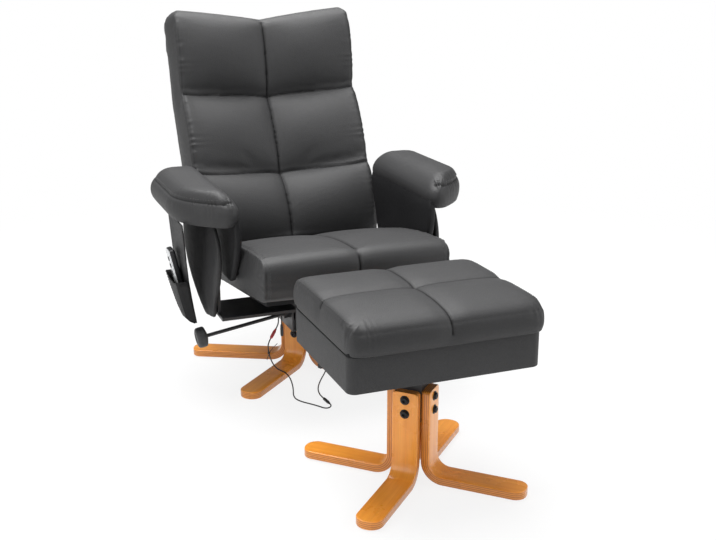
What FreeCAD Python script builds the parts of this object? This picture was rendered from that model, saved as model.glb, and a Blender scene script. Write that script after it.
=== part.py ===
import FreeCAD, Part
import math
import os
import Sketcher

# Massage recliner on a five-legged bentwood swivel base, with a storage footstool.
# Millimetres. +X is the sitter's left, -Y is the front, +Z is up.
# Pieces are drawn with the chair's swivel axis at X = Y = 0, then centred on the whole set.

DIMENSIONS = {
    # bentwood legs of both bases
    "leg_width": 62.0, "leg_thick": 20.0, "leg_bend": 32.0, "leg_tip_round": 26.0,
    "leg_corner_round": 9.0, "leg_edge_round": 3.0, "glide_thick": 2.0, "glide_radius": 14.0,
    "glide_setback": 32.0, "leg_seat_gap": 0.6,
    "chair_leg_reach": 335.0, "chair_leg_top": 148.0, "chair_leg_angle": 152.0,
    "stool_leg_reach": 272.0, "stool_leg_top": 224.0, "stool_leg_angle": 45.0,
    # leg bolts
    "bolt_radius": 4.0, "bolt_hole_gap": 0.2, "bolt_thread_gap": 0.05, "bolt_upper_drop": 18.0,
    "bolt_pitch": 33.0, "bolt_depth": 14.0, "bolt_head_radius": 8.0, "bolt_head_high": 5.0,
    "washer_radius": 11.0, "washer_thick": 1.5, "bolt_socket_radius": 3.0, "bolt_socket_deep": 3.0,
    # swivel
    "hub_high": 80.0, "hub_rise": 2.0, "spindle_radius": 15.0, "spindle_gap": 0.05,
    "bushing_wall": 10.0, "thrust_radius": 40.0, "thrust_thick": 4.0, "spindle_plate_side": 150.0,
    "spindle_plate_thick": 6.0, "ring_radius": 21.0, "ring_thick": 3.0, "ring_gap": 0.3,
    "spindle_tail": 8.0,
    # recline carrier
    "carrier_half": 95.0, "carrier_wall": 4.0, "carrier_front": 190.0,
    "carrier_bolt_inset": 20.0, "carrier_bolt_radius": 5.0, "ear_radius": 18.0,
    "pivot_back": 110.0, "pivot_high": 300.0, "pivot_pin_radius": 6.0, "pivot_gap": 0.05,
    "pin_head_radius": 10.0, "pin_head_thick": 4.0,
    # seat
    "seat_half": 252.0, "seat_rear": 80.0, "seat_rear_low": 262.0, "seat_rear_top": 354.0,
    "seat_front": 464.0, "seat_front_low": 336.0, "seat_front_top": 450.0, "seat_roll": 40.0,
    "seat_crown": 24.0, "seat_sag": 23.0, "seat_side_draw": 6.0, "seat_board_thick": 12.0,
    "seat_board_inset": 26.0,
    # backrest
    "back_half": 252.0, "head_half": 287.0, "back_low_front": 89.0, "back_low_high": 345.0,
    "lumbar_front": 199.0, "lumbar_high": 526.0, "neck_front": 313.0, "neck_high": 738.0,
    "head_front": 347.0, "head_drop": 28.0, "head_top": 1000.0, "head_dip": 33.0,
    "head_corner": 60.0, "head_fall": 14.0, "back_thick": 72.0, "lumbar_crown": 42.0,
    "middle_crown": 30.0, "head_crown": 27.0, "back_valley": 15.0, "back_edge": 19.0, "back_flare": 30.0,
    "boxing_slope": 54.0, "back_wrap": 42.0, "seam_rise": 24.0,
    "back_board_thick": 12.0, "back_board_inset": 24.0, "back_board_drop": 40.0,
    # back bracket
    "bracket_tube_radius": 14.0, "bracket_tube_half": 86.0, "bracket_arm_thick": 6.0,
    "bracket_arm_out": 66.0, "bracket_arm_wide": 30.0, "bracket_arm_long": 170.0, "bracket_foot_wide": 48.0,
    "back_bolt_radius": 4.0, "back_bolt_pitch": 60.0, "back_bolt_head": 4.0,
    # recline lock
    "crank_drop": 70.0, "crank_thick": 5.0, "crank_radius": 14.0, "crank_inset": 80.0, "crank_front": 4.0,
    "stud_radius": 5.0, "link_thick": 5.0, "link_high": 24.0, "link_reach": 300.0,
    "link_slope": 5.2, "link_gap": 0.5, "lock_front": 150.0, "lock_high": 203.0, "lock_droop": 9.0,
    "rod_radius": 5.0, "rod_gap": 0.05, "boss_radius": 13.0, "boss_long": 16.0, "knob_reach": 232.0,
    "knob_radius": 28.0, "knob_long": 30.0, "knob_edge": 6.0, "knob_neck": 9.0, "rod_hold": 18.0,
    # arms
    "arm_gap": 6.0, "arm_wide": 156.0, "arm_rear": 124.0, "arm_front": 306.0, "arm_low": 498.0,
    "arm_high": 590.0, "arm_belly": 42.0, "arm_shoulder": 22.0, "arm_low_draw": 12.0,
    "arm_shoulder_draw": 14.0, "arm_top_draw": 44.0, "arm_panel_thick": 20.0, "arm_panel_set": 6.0,
    "arm_panel_deep": 162.0, "arm_panel_round": 44.0, "arm_panel_heel_gap": 33.0, "arm_panel_bend_gap": 11.0,
    "arm_panel_bend_drop": 78.0, "arm_panel_rear_set": 16.0, "batten_inset": 10.0, "batten_gap": 12.0,
    "post_front": 262.0, "post_rear": 58.0, "post_neck_draw": 52.0, "post_full_drop": 104.0,
    "post_waist_rise": 78.0, "post_waist_draw": 34.0, "post_foot": 226.0, "post_foot_long": 52.0,
    "post_foot_thick": 26.0, "post_edge": 15.0, "post_round": 6.0, "brace_thick": 8.0, "brace_low": 232.0,
    "brace_front": 235.0, "brace_rear": 85.0, "brace_rise": 170.0, "brace_flange": 60.0,
    "arm_bolt_radius": 4.0, "arm_bolt_pitch": 44.0, "arm_bolt_head": 4.0, "arm_bolt_deep": 20.0,
    # massage motors and control box
    "motor_radius": 26.0, "motor_high": 20.0, "motor_gap": 0.4, "back_motor_out": 110.0,
    "seat_motor_out": 120.0, "seat_motor_front": 250.0, "seat_motor_rear": 90.0,
    "box_wide": 44.0, "box_long": 100.0, "box_high": 28.0, "box_front": 134.0, "gland_radius": 4.0,
    "gland_long": 4.0, "gland_pitch": 9.0, "gland_inset": 10.0, "gland_back": 12.0,
    # side pocket and hand control
    "pocket_front": 165.0, "pocket_rear": 55.0, "pocket_wall": 3.0, "pocket_mouth": 335.0,
    "pocket_inset": 21.0, "pocket_mouth_step": 13.0, "pocket_mouth_deep": 30.0, "pocket_low": 222.0,
    "pocket_low_step": 15.0, "pocket_low_deep": 26.0, "pocket_knee": 400.0, "pocket_knee_step": 7.0,
    "remote_wide": 46.0, "remote_thick": 18.0, "remote_long": 185.0, "remote_round": 6.0,
    "remote_tilt": 12.0, "remote_seat_gap": 0.3, "remote_wall_gap": 2.0, "remote_mid": 105.0,
    "key_radius": 6.0, "key_proud": 1.6,
    "key_deep": 2.4, "key_gap": 0.08, "key_pitch": 20.0, "key_first": 26.0,
    # footstool
    "stool_gap": 783.0, "stool_wide": 444.0, "stool_deep": 354.0, "stool_low": 302.0,
    "stool_rim": 383.0, "stool_wall": 14.0, "stool_floor": 12.0, "stool_round": 20.0,
    "stool_hub_low": 150.0, "stool_flange_side": 170.0, "stool_flange_thick": 5.0,
    "stool_hub_bore": 13.0, "lid_board_thick": 10.0, "lid_board_inset": 2.0, "lid_wide": 458.0,
    "lid_deep": 406.0, "lid_high": 468.0, "lid_round": 34.0, "lid_belly": 34.0, "lid_low_draw": 8.0,
    "lid_valley": 30.0, "lid_shoulder_draw": 12.0, "lid_top_draw": 44.0, "lid_pad_round": 22.0,
    # lid hinges
    "hinge_out": 130.0, "hinge_knuckle": 20.0, "hinge_radius": 5.0, "hinge_pin_radius": 2.5,
    "hinge_leaf_thick": 2.0, "hinge_leaf_long": 30.0, "hinge_back": 6.0, "hinge_rise": 4.0,
    "hinge_gap": 0.3, "hinge_bore_gap": 0.05,
    # leads
    "lead_radius": 1.75, "plug_radius": 4.5, "black_plug_long": 34.0, "lead_drop": 40.0,
    "tie_radius": 4.5, "tie_long": 5.0, "tie_gap": 0.6, "inline_radius": 4.2,
    "clip_side": 12.0, "clip_high": 20.0,
    "clip_reach": 105.0, "clip_low": 8.0,
}
CHAIR_LEGS = 5
STOOL_LEGS = 4
# corner rounds of an arm pad, the sweep of its nose and the place of its post, as shares of the pad's width,
# and the post's waist and front edge as shares of its thickness
ARM_ROUNDS = {"nose_inner": 0.205, "heel": 0.353, "heel_inner": 0.154}
NOSE_LONG_SHARE = 1.16
NOSE_TIP_SHARE = 0.256
POST_INSET_SHARE = 0.269
POST_THICK_SHARE = 0.359
POST_WAIST_SHARE = 0.8
POST_EDGE_SHARE = 0.6
SIDES = (("left", 1), ("right", -1))

doc = FreeCAD.newDocument("massage_recliner")
dims = doc.addObject("Spreadsheet::Sheet", "dims")
for row, (alias, value) in enumerate(DIMENSIONS.items(), start=1):
    dims.set(f"A{row}", str(value))
    dims.setAlias(f"A{row}", alias)
doc.recompute()

nodes = []
TOUCH = 0.01
FLAT_TURN = math.radians(12)
Z_AXIS = FreeCAD.Vector(0, 0, 1)
X_AXIS = FreeCAD.Vector(1, 0, 0)
Y_AXIS = FreeCAD.Vector(0, 1, 0)


def size(alias):
    """The sheet's value of one driving dimension."""
    return getattr(dims, alias)


def vec(x, y, z):
    """A point or direction."""
    return FreeCAD.Vector(x, y, z)


def keep(item, label):
    """Name a finished sub-part."""
    item.Label = label
    nodes.append(item)
    return item


def bind(item, **sizes):
    """Tie an object's sizes to sheet expressions."""
    for name, expression in sizes.items():
        item.setExpression(name, expression)
    return item


def feature(label, shape, placement=None):
    """A sub-part whose shape is worked out from the sheet."""
    item = doc.addObject("Part::Feature", label)
    item.Shape = shape
    if placement is not None:
        item.Placement = placement
    return keep(item, label)


def turned(angle, centre):
    """A turn about the vertical, placed at a base's axis."""
    return FreeCAD.Placement(centre, FreeCAD.Rotation(Z_AXIS, angle))


def group(shapes):
    """Several separate solids of one node."""
    return Part.makeCompound(shapes)


def one_solid(shape):
    """The single solid of a boolean result."""
    solids = shape.removeSplitter().Solids
    if len(solids) != 1:
        raise RuntimeError(f"expected one solid, found {len(solids)}")
    return solids[0]


def box(low, high):
    """A block between two corners."""
    return Part.makeBox(high.x - low.x, high.y - low.y, high.z - low.z, low)


def rod(start, end, radius):
    """A round bar between two points."""
    run = end - start
    return Part.makeCylinder(radius, run.Length, start, run)


def face_of(edges):
    """A flat face inside a closed outline."""
    return Part.Face(Part.Wire(edges))


def line(a, b):
    """A straight edge."""
    return Part.LineSegment(a, b).toShape()


def arc(a, middle, b):
    """A round edge through three points."""
    return Part.Arc(a, middle, b).toShape()


def loft(wires):
    """A smooth closed solid through outlines."""
    return Part.makeLoft(wires, True, False)


def outline(points):
    """A closed outline of straight edges."""
    ends = points[1:] + points[:1]
    return [line(a, b) for a, b in zip(points, ends)]


def plate(points, thickness):
    """A flat plate cut to an outline, thickened along a vector."""
    return face_of(outline(points)).extrude(thickness)


def rounded_outline(low_x, high_x, low_y, high_y, z, radii):
    """A level outline whose corners are round: radii start low-low and go counter-clockwise."""
    corners = [vec(low_x, low_y, z), vec(high_x, low_y, z), vec(high_x, high_y, z), vec(low_x, high_y, z)]
    ways = [vec(1, 0, 0), vec(0, 1, 0), vec(-1, 0, 0), vec(0, -1, 0)]
    starts, ends, middles = [], [], []
    for index, (corner, radius) in enumerate(zip(corners, radii)):
        coming = ways[index - 1]
        going = ways[index]
        centre = corner - coming * radius + going * radius
        starts.append(corner - coming * radius)
        ends.append(corner + going * radius)
        middles.append(centre + (corner - centre) * (1 / math.sqrt(2)))
    edges = []
    for index in range(4):
        edges.append(arc(starts[index], middles[index], ends[index]))
        edges.append(line(ends[index], starts[(index + 1) % 4]))
    return Part.Wire(edges)


# bentwood legs

def origin_plane(body, role):
    """One of a body's own origin planes."""
    return next(plane for plane in body.Origin.OriginFeatures if plane.Role == role)


def sketch_on(body, role, name):
    """An empty sketch on an origin plane."""
    sketch = body.newObject("Sketcher::SketchObject", name)
    sketch.AttachmentSupport = [(origin_plane(body, role), "")]
    sketch.MapMode = "FlatFace"
    return sketch


def dimension(sketch, name, expression, *constraint):
    """A named sketch size tied to the sheet."""
    index = sketch.addConstraint(Sketcher.Constraint(*constraint))
    sketch.renameConstraint(index, name)
    sketch.setExpression(f"Constraints.{name}", expression)


def edge_names(shape, wanted):
    """Names of the edges that pass a test."""
    return [f"Edge{i}" for i, edge in enumerate(shape.Edges, start=1) if wanted(edge)]


def is_sharp(shape, edge):
    """Whether the two faces beside an edge meet at an angle."""
    faces = shape.ancestorsOfType(edge, Part.Face)
    if len(faces) < 2:
        return False
    middle = edge.valueAt((edge.FirstParameter + edge.LastParameter) / 2)
    normals = [face.normalAt(*face.Surface.parameter(middle)) for face in faces]
    return normals[0].getAngle(normals[1]) > FLAT_TURN


def inner_face(count):
    """Distance from a base's axis to the inner face of its legs, where the plates just clear."""
    return size("leg_width") / 2 / math.tan(math.pi / count) + size("leg_seat_gap")


INNER_EXPRESSION = "dims.leg_width / 2 / tan({half} deg) + dims.leg_seat_gap"


def leg_profile(body, kind, count):
    """The bent strip seen from the side: an upright plate that turns out into the foot."""
    sketch = sketch_on(body, "XZ_Plane", f"{kind}_strip")
    thick, bend, low = size("leg_thick"), size("leg_bend"), size("glide_thick")
    inner, reach, top = inner_face(count), size(f"{kind}_leg_reach"), size(f"{kind}_leg_top")
    centre = vec(inner + thick + bend, low + thick + bend, 0)
    quarter = (math.pi, 1.5 * math.pi)
    strip = [
        Part.LineSegment(vec(inner, top, 0), vec(inner, centre.y, 0)),
        Part.ArcOfCircle(Part.Circle(centre, Z_AXIS, bend + thick), *quarter),
        Part.LineSegment(vec(centre.x, low, 0), vec(reach, low, 0)),
        Part.LineSegment(vec(reach, low, 0), vec(reach, low + thick, 0)),
        Part.LineSegment(vec(reach, low + thick, 0), vec(centre.x, low + thick, 0)),
        Part.ArcOfCircle(Part.Circle(centre, Z_AXIS, bend), *quarter),
        Part.LineSegment(vec(inner + thick, centre.y, 0), vec(inner + thick, top, 0)),
        Part.LineSegment(vec(inner + thick, top, 0), vec(inner, top, 0)),
    ]
    back, sole_bend, sole, tip, tread, tread_bend, front, crest = [sketch.addGeometry(g) for g in strip]
    joins = [
        ("Tangent", back, 2, sole_bend, 1), ("Tangent", sole_bend, 2, sole, 1),
        ("Coincident", sole, 2, tip, 1), ("Coincident", tip, 2, tread, 1),
        ("Tangent", tread, 2, tread_bend, 2), ("Tangent", tread_bend, 1, front, 1),
        ("Coincident", front, 2, crest, 1), ("Coincident", crest, 2, back, 1),
        ("Vertical", back), ("Horizontal", sole), ("Vertical", tip), ("Horizontal", tread),
        ("Vertical", front), ("Horizontal", crest),
    ]
    for join in joins:
        sketch.addConstraint(Sketcher.Constraint(*join))
    inner_words = INNER_EXPRESSION.format(half=180 / count)
    dimension(sketch, "inner", inner_words, "DistanceX", -1, 1, back, 1, inner)
    dimension(sketch, "top", f"dims.{kind}_leg_top", "DistanceY", -1, 1, back, 1, top)
    dimension(sketch, "reach", f"dims.{kind}_leg_reach", "DistanceX", -1, 1, tip, 1, reach)
    dimension(sketch, "low", "dims.glide_thick", "DistanceY", -1, 1, tip, 1, low)
    dimension(sketch, "foot", "dims.leg_thick", "DistanceY", tip, 1, tip, 2, thick)
    dimension(sketch, "plate", "dims.leg_thick", "DistanceX", crest, 2, crest, 1, thick)
    dimension(sketch, "bend", "dims.leg_bend", "Radius", tread_bend, bend)
    dimension(sketch, "sole_bend", "dims.leg_bend + dims.leg_thick", "Radius", sole_bend, bend + thick)
    return sketch


def rounded(body, base, name, alias, wanted):
    """Round the chosen edges of a body's last feature."""
    fillet = body.newObject("PartDesign::Fillet", name)
    fillet.Base = (base, edge_names(base.Shape, wanted))
    bind(fillet, Radius=f"dims.{alias}")
    doc.recompute()
    return fillet


def bolt_levels(kind):
    """Heights of the two bolts in each leg plate."""
    upper = size(f"{kind}_leg_top") - size("bolt_upper_drop")
    return (upper, upper - size("bolt_pitch"))


def bent_leg(label, kind, count, angle, centre):
    """One bentwood leg with its two bolt holes and rounded edges."""
    body = doc.addObject("PartDesign::Body", label)
    profile = leg_profile(body, kind, count)
    strip = body.newObject("PartDesign::Pad", "strip")
    strip.Profile = profile
    strip.SideType = "Symmetric"
    bind(strip, Length="dims.leg_width")
    doc.recompute()
    solid_volume = strip.Shape.Volume
    drilled = sketch_on(body, "YZ_Plane", "bolt_holes")
    hole_radius = size("bolt_radius") + size("bolt_hole_gap")
    for index, level in enumerate(bolt_levels(kind)):
        drop = f"dims.bolt_upper_drop - {index} * dims.bolt_pitch"
        hole = drilled.addGeometry(Part.Circle(vec(0, level, 0), Z_AXIS, hole_radius))
        drilled.addConstraint(Sketcher.Constraint("PointOnObject", hole, 3, -2))
        dimension(drilled, f"level_{index}", f"dims.{kind}_leg_top - {drop}",
                  "DistanceY", -1, 1, hole, 3, level)
        dimension(drilled, f"hole_{index}", "dims.bolt_radius + dims.bolt_hole_gap",
                  "Radius", hole, hole_radius)
    holes = body.newObject("PartDesign::Pocket", "holes")
    holes.Profile = drilled
    holes.SideType = "Symmetric"
    holes.Type = "ThroughAll"
    doc.recompute()
    if holes.Shape.Volume > solid_volume - 1:
        raise RuntimeError("the bolt holes cut nothing")
    reach_line, top_line = size(f"{kind}_leg_reach") - TOUCH, size(f"{kind}_leg_top") - TOUCH
    tip = rounded(body, holes, "tip", "leg_tip_round",
                  lambda e: e.BoundBox.XMin > reach_line and e.BoundBox.YLength < TOUCH)
    corners = rounded(body, tip, "corners", "leg_corner_round",
                      lambda e: e.BoundBox.ZMin > top_line and e.BoundBox.YLength < TOUCH)

    def is_outer(edge):
        return not (isinstance(edge.Curve, Part.Circle) and abs(edge.Curve.Radius - hole_radius) < TOUCH)
    rounded(body, corners, "edges", "leg_edge_round",
            lambda e: is_outer(e) and is_sharp(corners.Shape, e))
    body.Placement = turned(angle, centre)
    return keep(body, label)


def leg_angles(kind, count):
    """Directions of a base's legs."""
    return [size(f"{kind}_leg_angle") + 360 / count * index for index in range(count)]


def leg_bolt(radius_out, level):
    """A flanged bolt that points at the axis, with a hexagon socket in its head."""
    def at(distance):
        return vec(radius_out + distance, 0, level)
    shank = rod(at(-size("leg_thick") - size("bolt_depth")), at(0), size("bolt_radius"))
    washer = rod(at(0), at(size("washer_thick")), size("washer_radius"))
    head_end = size("washer_thick") + size("bolt_head_high")
    head = rod(at(size("washer_thick")), at(head_end), size("bolt_head_radius"))
    corners = [vec(0, math.cos(a), math.sin(a)) * size("bolt_socket_radius")
               for a in (math.radians(60 * i) for i in range(6))]
    mouth = [at(head_end) + c for c in corners]
    socket = plate(mouth, X_AXIS * -size("bolt_socket_deep"))
    return one_solid(shank.fuse([washer, head]).cut(socket))


def leg_bolts(kind, count, centre):
    """All the bolts of a base."""
    outer = inner_face(count) + size("leg_thick")
    shapes = []
    for angle in leg_angles(kind, count):
        for level in bolt_levels(kind):
            bolt = leg_bolt(outer, level)
            bolt.Placement = turned(angle, centre)
            shapes.append(bolt)
    return group(shapes)


def bolt_bores(kind, count):
    """Threaded holes that the bolts of a base screw into."""
    shapes = []
    for angle in leg_angles(kind, count):
        for level in bolt_levels(kind):
            start = vec(inner_face(count) - size("bolt_depth"), 0, level)
            mouth = vec(inner_face(count) + size("leg_seat_gap"), 0, level)
            bore = rod(start, mouth, size("bolt_radius") + size("bolt_thread_gap"))
            bore.Placement = turned(angle, vec(0, 0, 0))
            shapes.append(bore)
    return shapes


def glides(kind, count, centre):
    """Felt pads under the leg tips."""
    reach = size(f"{kind}_leg_reach") - size("glide_setback")
    shapes = []
    for angle in leg_angles(kind, count):
        pad = Part.makeCylinder(size("glide_radius"), size("glide_thick"), vec(reach, 0, 0))
        pad.Placement = turned(angle, centre)
        shapes.append(pad)
    return group(shapes)


def hub_prism(kind, count, low, high):
    """A block with one flat for each leg."""
    corner = inner_face(count) / math.cos(math.pi / count)
    start = size(f"{kind}_leg_angle") + 180 / count
    corners = [math.radians(start + 360 / count * i) for i in range(count)]
    flats = [vec(corner * math.cos(a), corner * math.sin(a), low) for a in corners]
    return plate(flats, Z_AXIS * (high - low))


# chair base and swivel

FLOOR_CENTRE = vec(0, 0, 0)
hub_top = size("chair_leg_top") + size("hub_rise")
hub_low = hub_top - size("hub_high")
bush_radius = size("spindle_radius") + size("spindle_gap")
thrust_top = hub_top + size("thrust_thick")
spindle_top = thrust_top + size("spindle_plate_thick")

for number, angle in enumerate(leg_angles("chair", CHAIR_LEGS), start=1):
    bent_leg(f"base_leg_{number}", "chair", CHAIR_LEGS, angle, FLOOR_CENTRE)

hub_bore = Part.makeCylinder(bush_radius + size("bushing_wall"), size("hub_high"), vec(0, 0, hub_low))
hub = hub_prism("chair", CHAIR_LEGS, hub_low, hub_top).cut([hub_bore] + bolt_bores("chair", CHAIR_LEGS))
feature("base_hub", one_solid(hub))
feature("base_leg_bolts", leg_bolts("chair", CHAIR_LEGS, FLOOR_CENTRE))
feature("base_glides", glides("chair", CHAIR_LEGS, FLOOR_CENTRE))


def ring(label, outer, inner, high, low):
    """A plain ring: one cylinder cut by another, tied to the sheet."""
    rim = bind(doc.addObject("Part::Cylinder", f"{label}_rim"), Radius=outer, Height=high)
    bore = bind(doc.addObject("Part::Cylinder", f"{label}_bore"), Radius=inner, Height=high)
    cut = doc.addObject("Part::Cut", label)
    cut.Base = rim
    cut.Tool = bore
    cut.Placement = FreeCAD.Placement(vec(0, 0, low), FreeCAD.Rotation())
    return keep(cut, label)


BORE = "dims.spindle_radius + dims.spindle_gap"
ring("swivel_bushing", f"{BORE} + dims.bushing_wall", BORE, "dims.hub_high", hub_low)
ring("thrust_washer", "dims.thrust_radius", BORE, "dims.thrust_thick", hub_top)
ring_top = hub_low - size("ring_gap")
ring("spindle_ring", "dims.ring_radius", "dims.spindle_radius", "dims.ring_thick",
     ring_top - size("ring_thick"))

half_plate = size("spindle_plate_side") / 2
bolt_spot = half_plate - size("carrier_bolt_inset")
spindle_low = ring_top - size("ring_thick") - size("spindle_tail")
shaft = rod(vec(0, 0, spindle_low), vec(0, 0, thrust_top), size("spindle_radius"))
spindle = shaft.fuse(box(vec(-half_plate, -half_plate, thrust_top), vec(half_plate, half_plate, spindle_top)))
bolt_spots = [vec(sx * bolt_spot, sy * bolt_spot, 0) for sx in (-1, 1) for sy in (-1, 1)]
bolt_bore = size("carrier_bolt_radius") + size("bolt_thread_gap")
carrier_floor = spindle_top + size("carrier_wall")
bolt_holes = [rod(p + vec(0, 0, thrust_top), p + vec(0, 0, carrier_floor), bolt_bore) for p in bolt_spots]
feature("swivel_spindle", one_solid(spindle.cut(bolt_holes)))


# recline carrier: a folded steel channel with an ear each side for the recline pin

def seat_under(y):
    """Height of the seat board's underside at a place along the seat."""
    slope = (size("seat_rear_low") - size("seat_front_low")) / (size("seat_rear") + size("seat_front"))
    board_top = size("seat_rear_low") + (y - size("seat_rear")) * slope
    return board_top - size("seat_board_thick") / math.cos(math.atan(slope))


def shifted(points, x):
    """Points of a side view, at one place across the chair."""
    return [vec(x, y, z) for y, z in points]


pivot = vec(0, size("pivot_back"), size("pivot_high"))
carrier_front = -size("carrier_front")
ear_rear = pivot.y + size("ear_radius")
ear_front = pivot.y - size("ear_radius")
cheek_side = [
    (carrier_front, spindle_top), (ear_rear, spindle_top), (ear_rear, pivot.z),
    (ear_front, pivot.z), (ear_front, seat_under(ear_front)), (carrier_front, seat_under(carrier_front)),
]
outer_wall = size("carrier_half")
inner_wall = outer_wall - size("carrier_wall")
carrier_shapes = [box(vec(-outer_wall, carrier_front, spindle_top), vec(outer_wall, ear_rear, carrier_floor))]
for side in (1, -1):
    start = inner_wall if side > 0 else -outer_wall
    carrier_shapes.append(plate(shifted(cheek_side, start), X_AXIS * size("carrier_wall")))
    ear = pivot + X_AXIS * start
    carrier_shapes.append(rod(ear, ear + X_AXIS * size("carrier_wall"), size("ear_radius")))

droop = math.radians(size("lock_droop"))
lock_way = vec(-math.cos(droop), 0, -math.sin(droop))
lock_point = vec(-outer_wall, -size("lock_front"), size("lock_high"))
boss_end = lock_point + lock_way * size("boss_long")
carrier_shapes.append(rod(lock_point - lock_way * size("carrier_wall") / 2, boss_end, size("boss_radius")))
rod_bore = rod(lock_point - lock_way * size("boss_long"), boss_end + lock_way,
               size("rod_radius") + size("rod_gap"))
pin_radius = size("pivot_pin_radius")
pin_bore = pin_radius + size("pivot_gap")
ear_span = X_AXIS * (outer_wall + pin_radius)
pin_hole = rod(pivot - ear_span, pivot + ear_span, pin_bore)
carrier = carrier_shapes[0].fuse(carrier_shapes[1:]).cut(bolt_holes + [rod_bore, pin_hole])
feature("carrier", one_solid(carrier))


def carrier_bolt(spot):
    """A bolt that holds the channel to the spindle's plate."""
    shank = rod(spot + vec(0, 0, thrust_top), spot + vec(0, 0, carrier_floor), size("carrier_bolt_radius"))
    head_top = carrier_floor + size("bolt_head_high")
    head = rod(spot + vec(0, 0, carrier_floor), spot + vec(0, 0, head_top), size("bolt_head_radius"))
    return one_solid(shank.fuse(head))


seat_bolts = [carrier_bolt(spot) for spot in bolt_spots]

pin_out = outer_wall + size("pin_head_thick")
pin = rod(pivot - X_AXIS * pin_out, pivot + X_AXIS * pin_out, pin_radius)
pin_heads = [rod(pivot + X_AXIS * side * outer_wall, pivot + X_AXIS * side * pin_out, size("pin_head_radius"))
             for side in (1, -1)]
feature("recline_pin", one_solid(pin.fuse(pin_heads)))


# seat

def seat_outline(x, crown, draw):
    """Side view of the seat cushion: flat below, rolled at the front, crowned on top."""
    rear, front, roll = size("seat_rear"), -size("seat_front"), size("seat_roll")
    low_rear = vec(x, rear, size("seat_rear_low"))
    low_front = vec(x, front + roll + draw, size("seat_front_low"))
    lip = vec(x, front + draw, (size("seat_front_low") + size("seat_front_top")) / 2)
    crest = vec(x, front + roll + draw, size("seat_front_top") - draw + crown / 4)
    heel = vec(x, rear - roll / 2, size("seat_rear_top") - draw)
    tail = vec(x, rear, size("seat_rear_top") - roll / 2 - draw)
    swell = (crest + heel) * 0.5 + vec(0, 0, crown)
    bend = roll * (1 - math.sqrt(0.5))
    return Part.Wire([
        line(low_rear, low_front),
        arc(low_front, vec(x, front + draw + bend, low_front.z + bend), lip),
        arc(lip, vec(x, front + draw + bend, crest.z - bend), crest),
        arc(crest, swell, heel),
        arc(heel, vec(x, rear - bend / 2, heel.z - bend / 2), tail),
        line(tail, low_rear),
    ])


def columns(profile, half, valley, crown, side):
    """Two crowned columns side by side, sewn together down the middle."""
    shapes = []
    for sign in (1, -1):
        sections = [profile(0, *valley), profile(sign * half / 2, *crown), profile(sign * half, *side)]
        shapes.append(loft(sections))
    return one_solid(shapes[0].fuse(shapes[1]))


def seat_top(y):
    """Height of the seat board's upper face."""
    return seat_under(y) + size("seat_board_thick") / math.cos(seat_slope)


seat_fall = size("seat_rear_low") - size("seat_front_low")
seat_slope = math.atan(seat_fall / (size("seat_rear") + size("seat_front")))
board_way = vec(0, math.cos(seat_slope), math.sin(seat_slope))
board_up = vec(0, -math.sin(seat_slope), math.cos(seat_slope))
board_rear = size("seat_rear") - size("seat_board_inset")
board_front = -size("seat_front") + size("seat_roll") + size("seat_board_inset")
board_half = size("seat_half") - size("seat_board_inset")
board_side = [(y, seat_top(y)) for y in (board_front, board_rear)] + \
             [(y, seat_under(y)) for y in (board_rear, board_front)]
feature("seat_board", plate(shifted(board_side, -board_half), X_AXIS * 2 * board_half))


def motor(spot, up, grow=0.0):
    """A vibration motor's round case, or the pocket for it."""
    return Part.makeCylinder(size("motor_radius") + grow, size("motor_high") + grow, spot, up)


seat_spots = [vec(side * size("seat_motor_out"), -y, seat_top(-y))
              for side in (1, -1) for y in (size("seat_motor_front"), size("seat_motor_rear"))]
seat_pad = columns(seat_outline, size("seat_half"), (size("seat_sag"), 0),
                   (size("seat_crown"), 0), (size("seat_sag"), size("seat_side_draw")))
seat_pad = seat_pad.cut([motor(p, board_up, size("motor_gap")) for p in seat_spots])
feature("seat_cushion", one_solid(seat_pad))
feature("seat_motors", group([motor(p, board_up) for p in seat_spots]))


# backrest

head_high = size("head_top") - size("head_drop")
SEAMS = [vec(0, size("back_low_front"), size("back_low_high")),
         vec(0, size("lumbar_front"), size("lumbar_high")),
         vec(0, size("neck_front"), size("neck_high")),
         vec(0, size("head_front"), head_high)]
CROWNS = ("lumbar_crown", "middle_crown", "head_crown")
# how much of the sides' forward wrap and upward sweep each seam takes, from the lowest up
WRAPS = (0.0, 1.0, 0.7, 0.4)
CROWN_WRAP = 0.3
RISES = (0.0, 1.0, 1.0, 0.0)


def across(a, b):
    """The backward direction square to a stretch of the backrest."""
    way = (b - a).normalize()
    return vec(0, way.z, -way.y)


ROW_BACKS = [across(a, b) for a, b in zip(SEAMS, SEAMS[1:])]
JOINT_BACKS = [ROW_BACKS[0], (ROW_BACKS[0] + ROW_BACKS[1]).normalize(),
               (ROW_BACKS[1] + ROW_BACKS[2]).normalize(), ROW_BACKS[2]]
REAR = [seam + back * size("back_thick") for seam, back in zip(SEAMS, JOINT_BACKS)]


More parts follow.
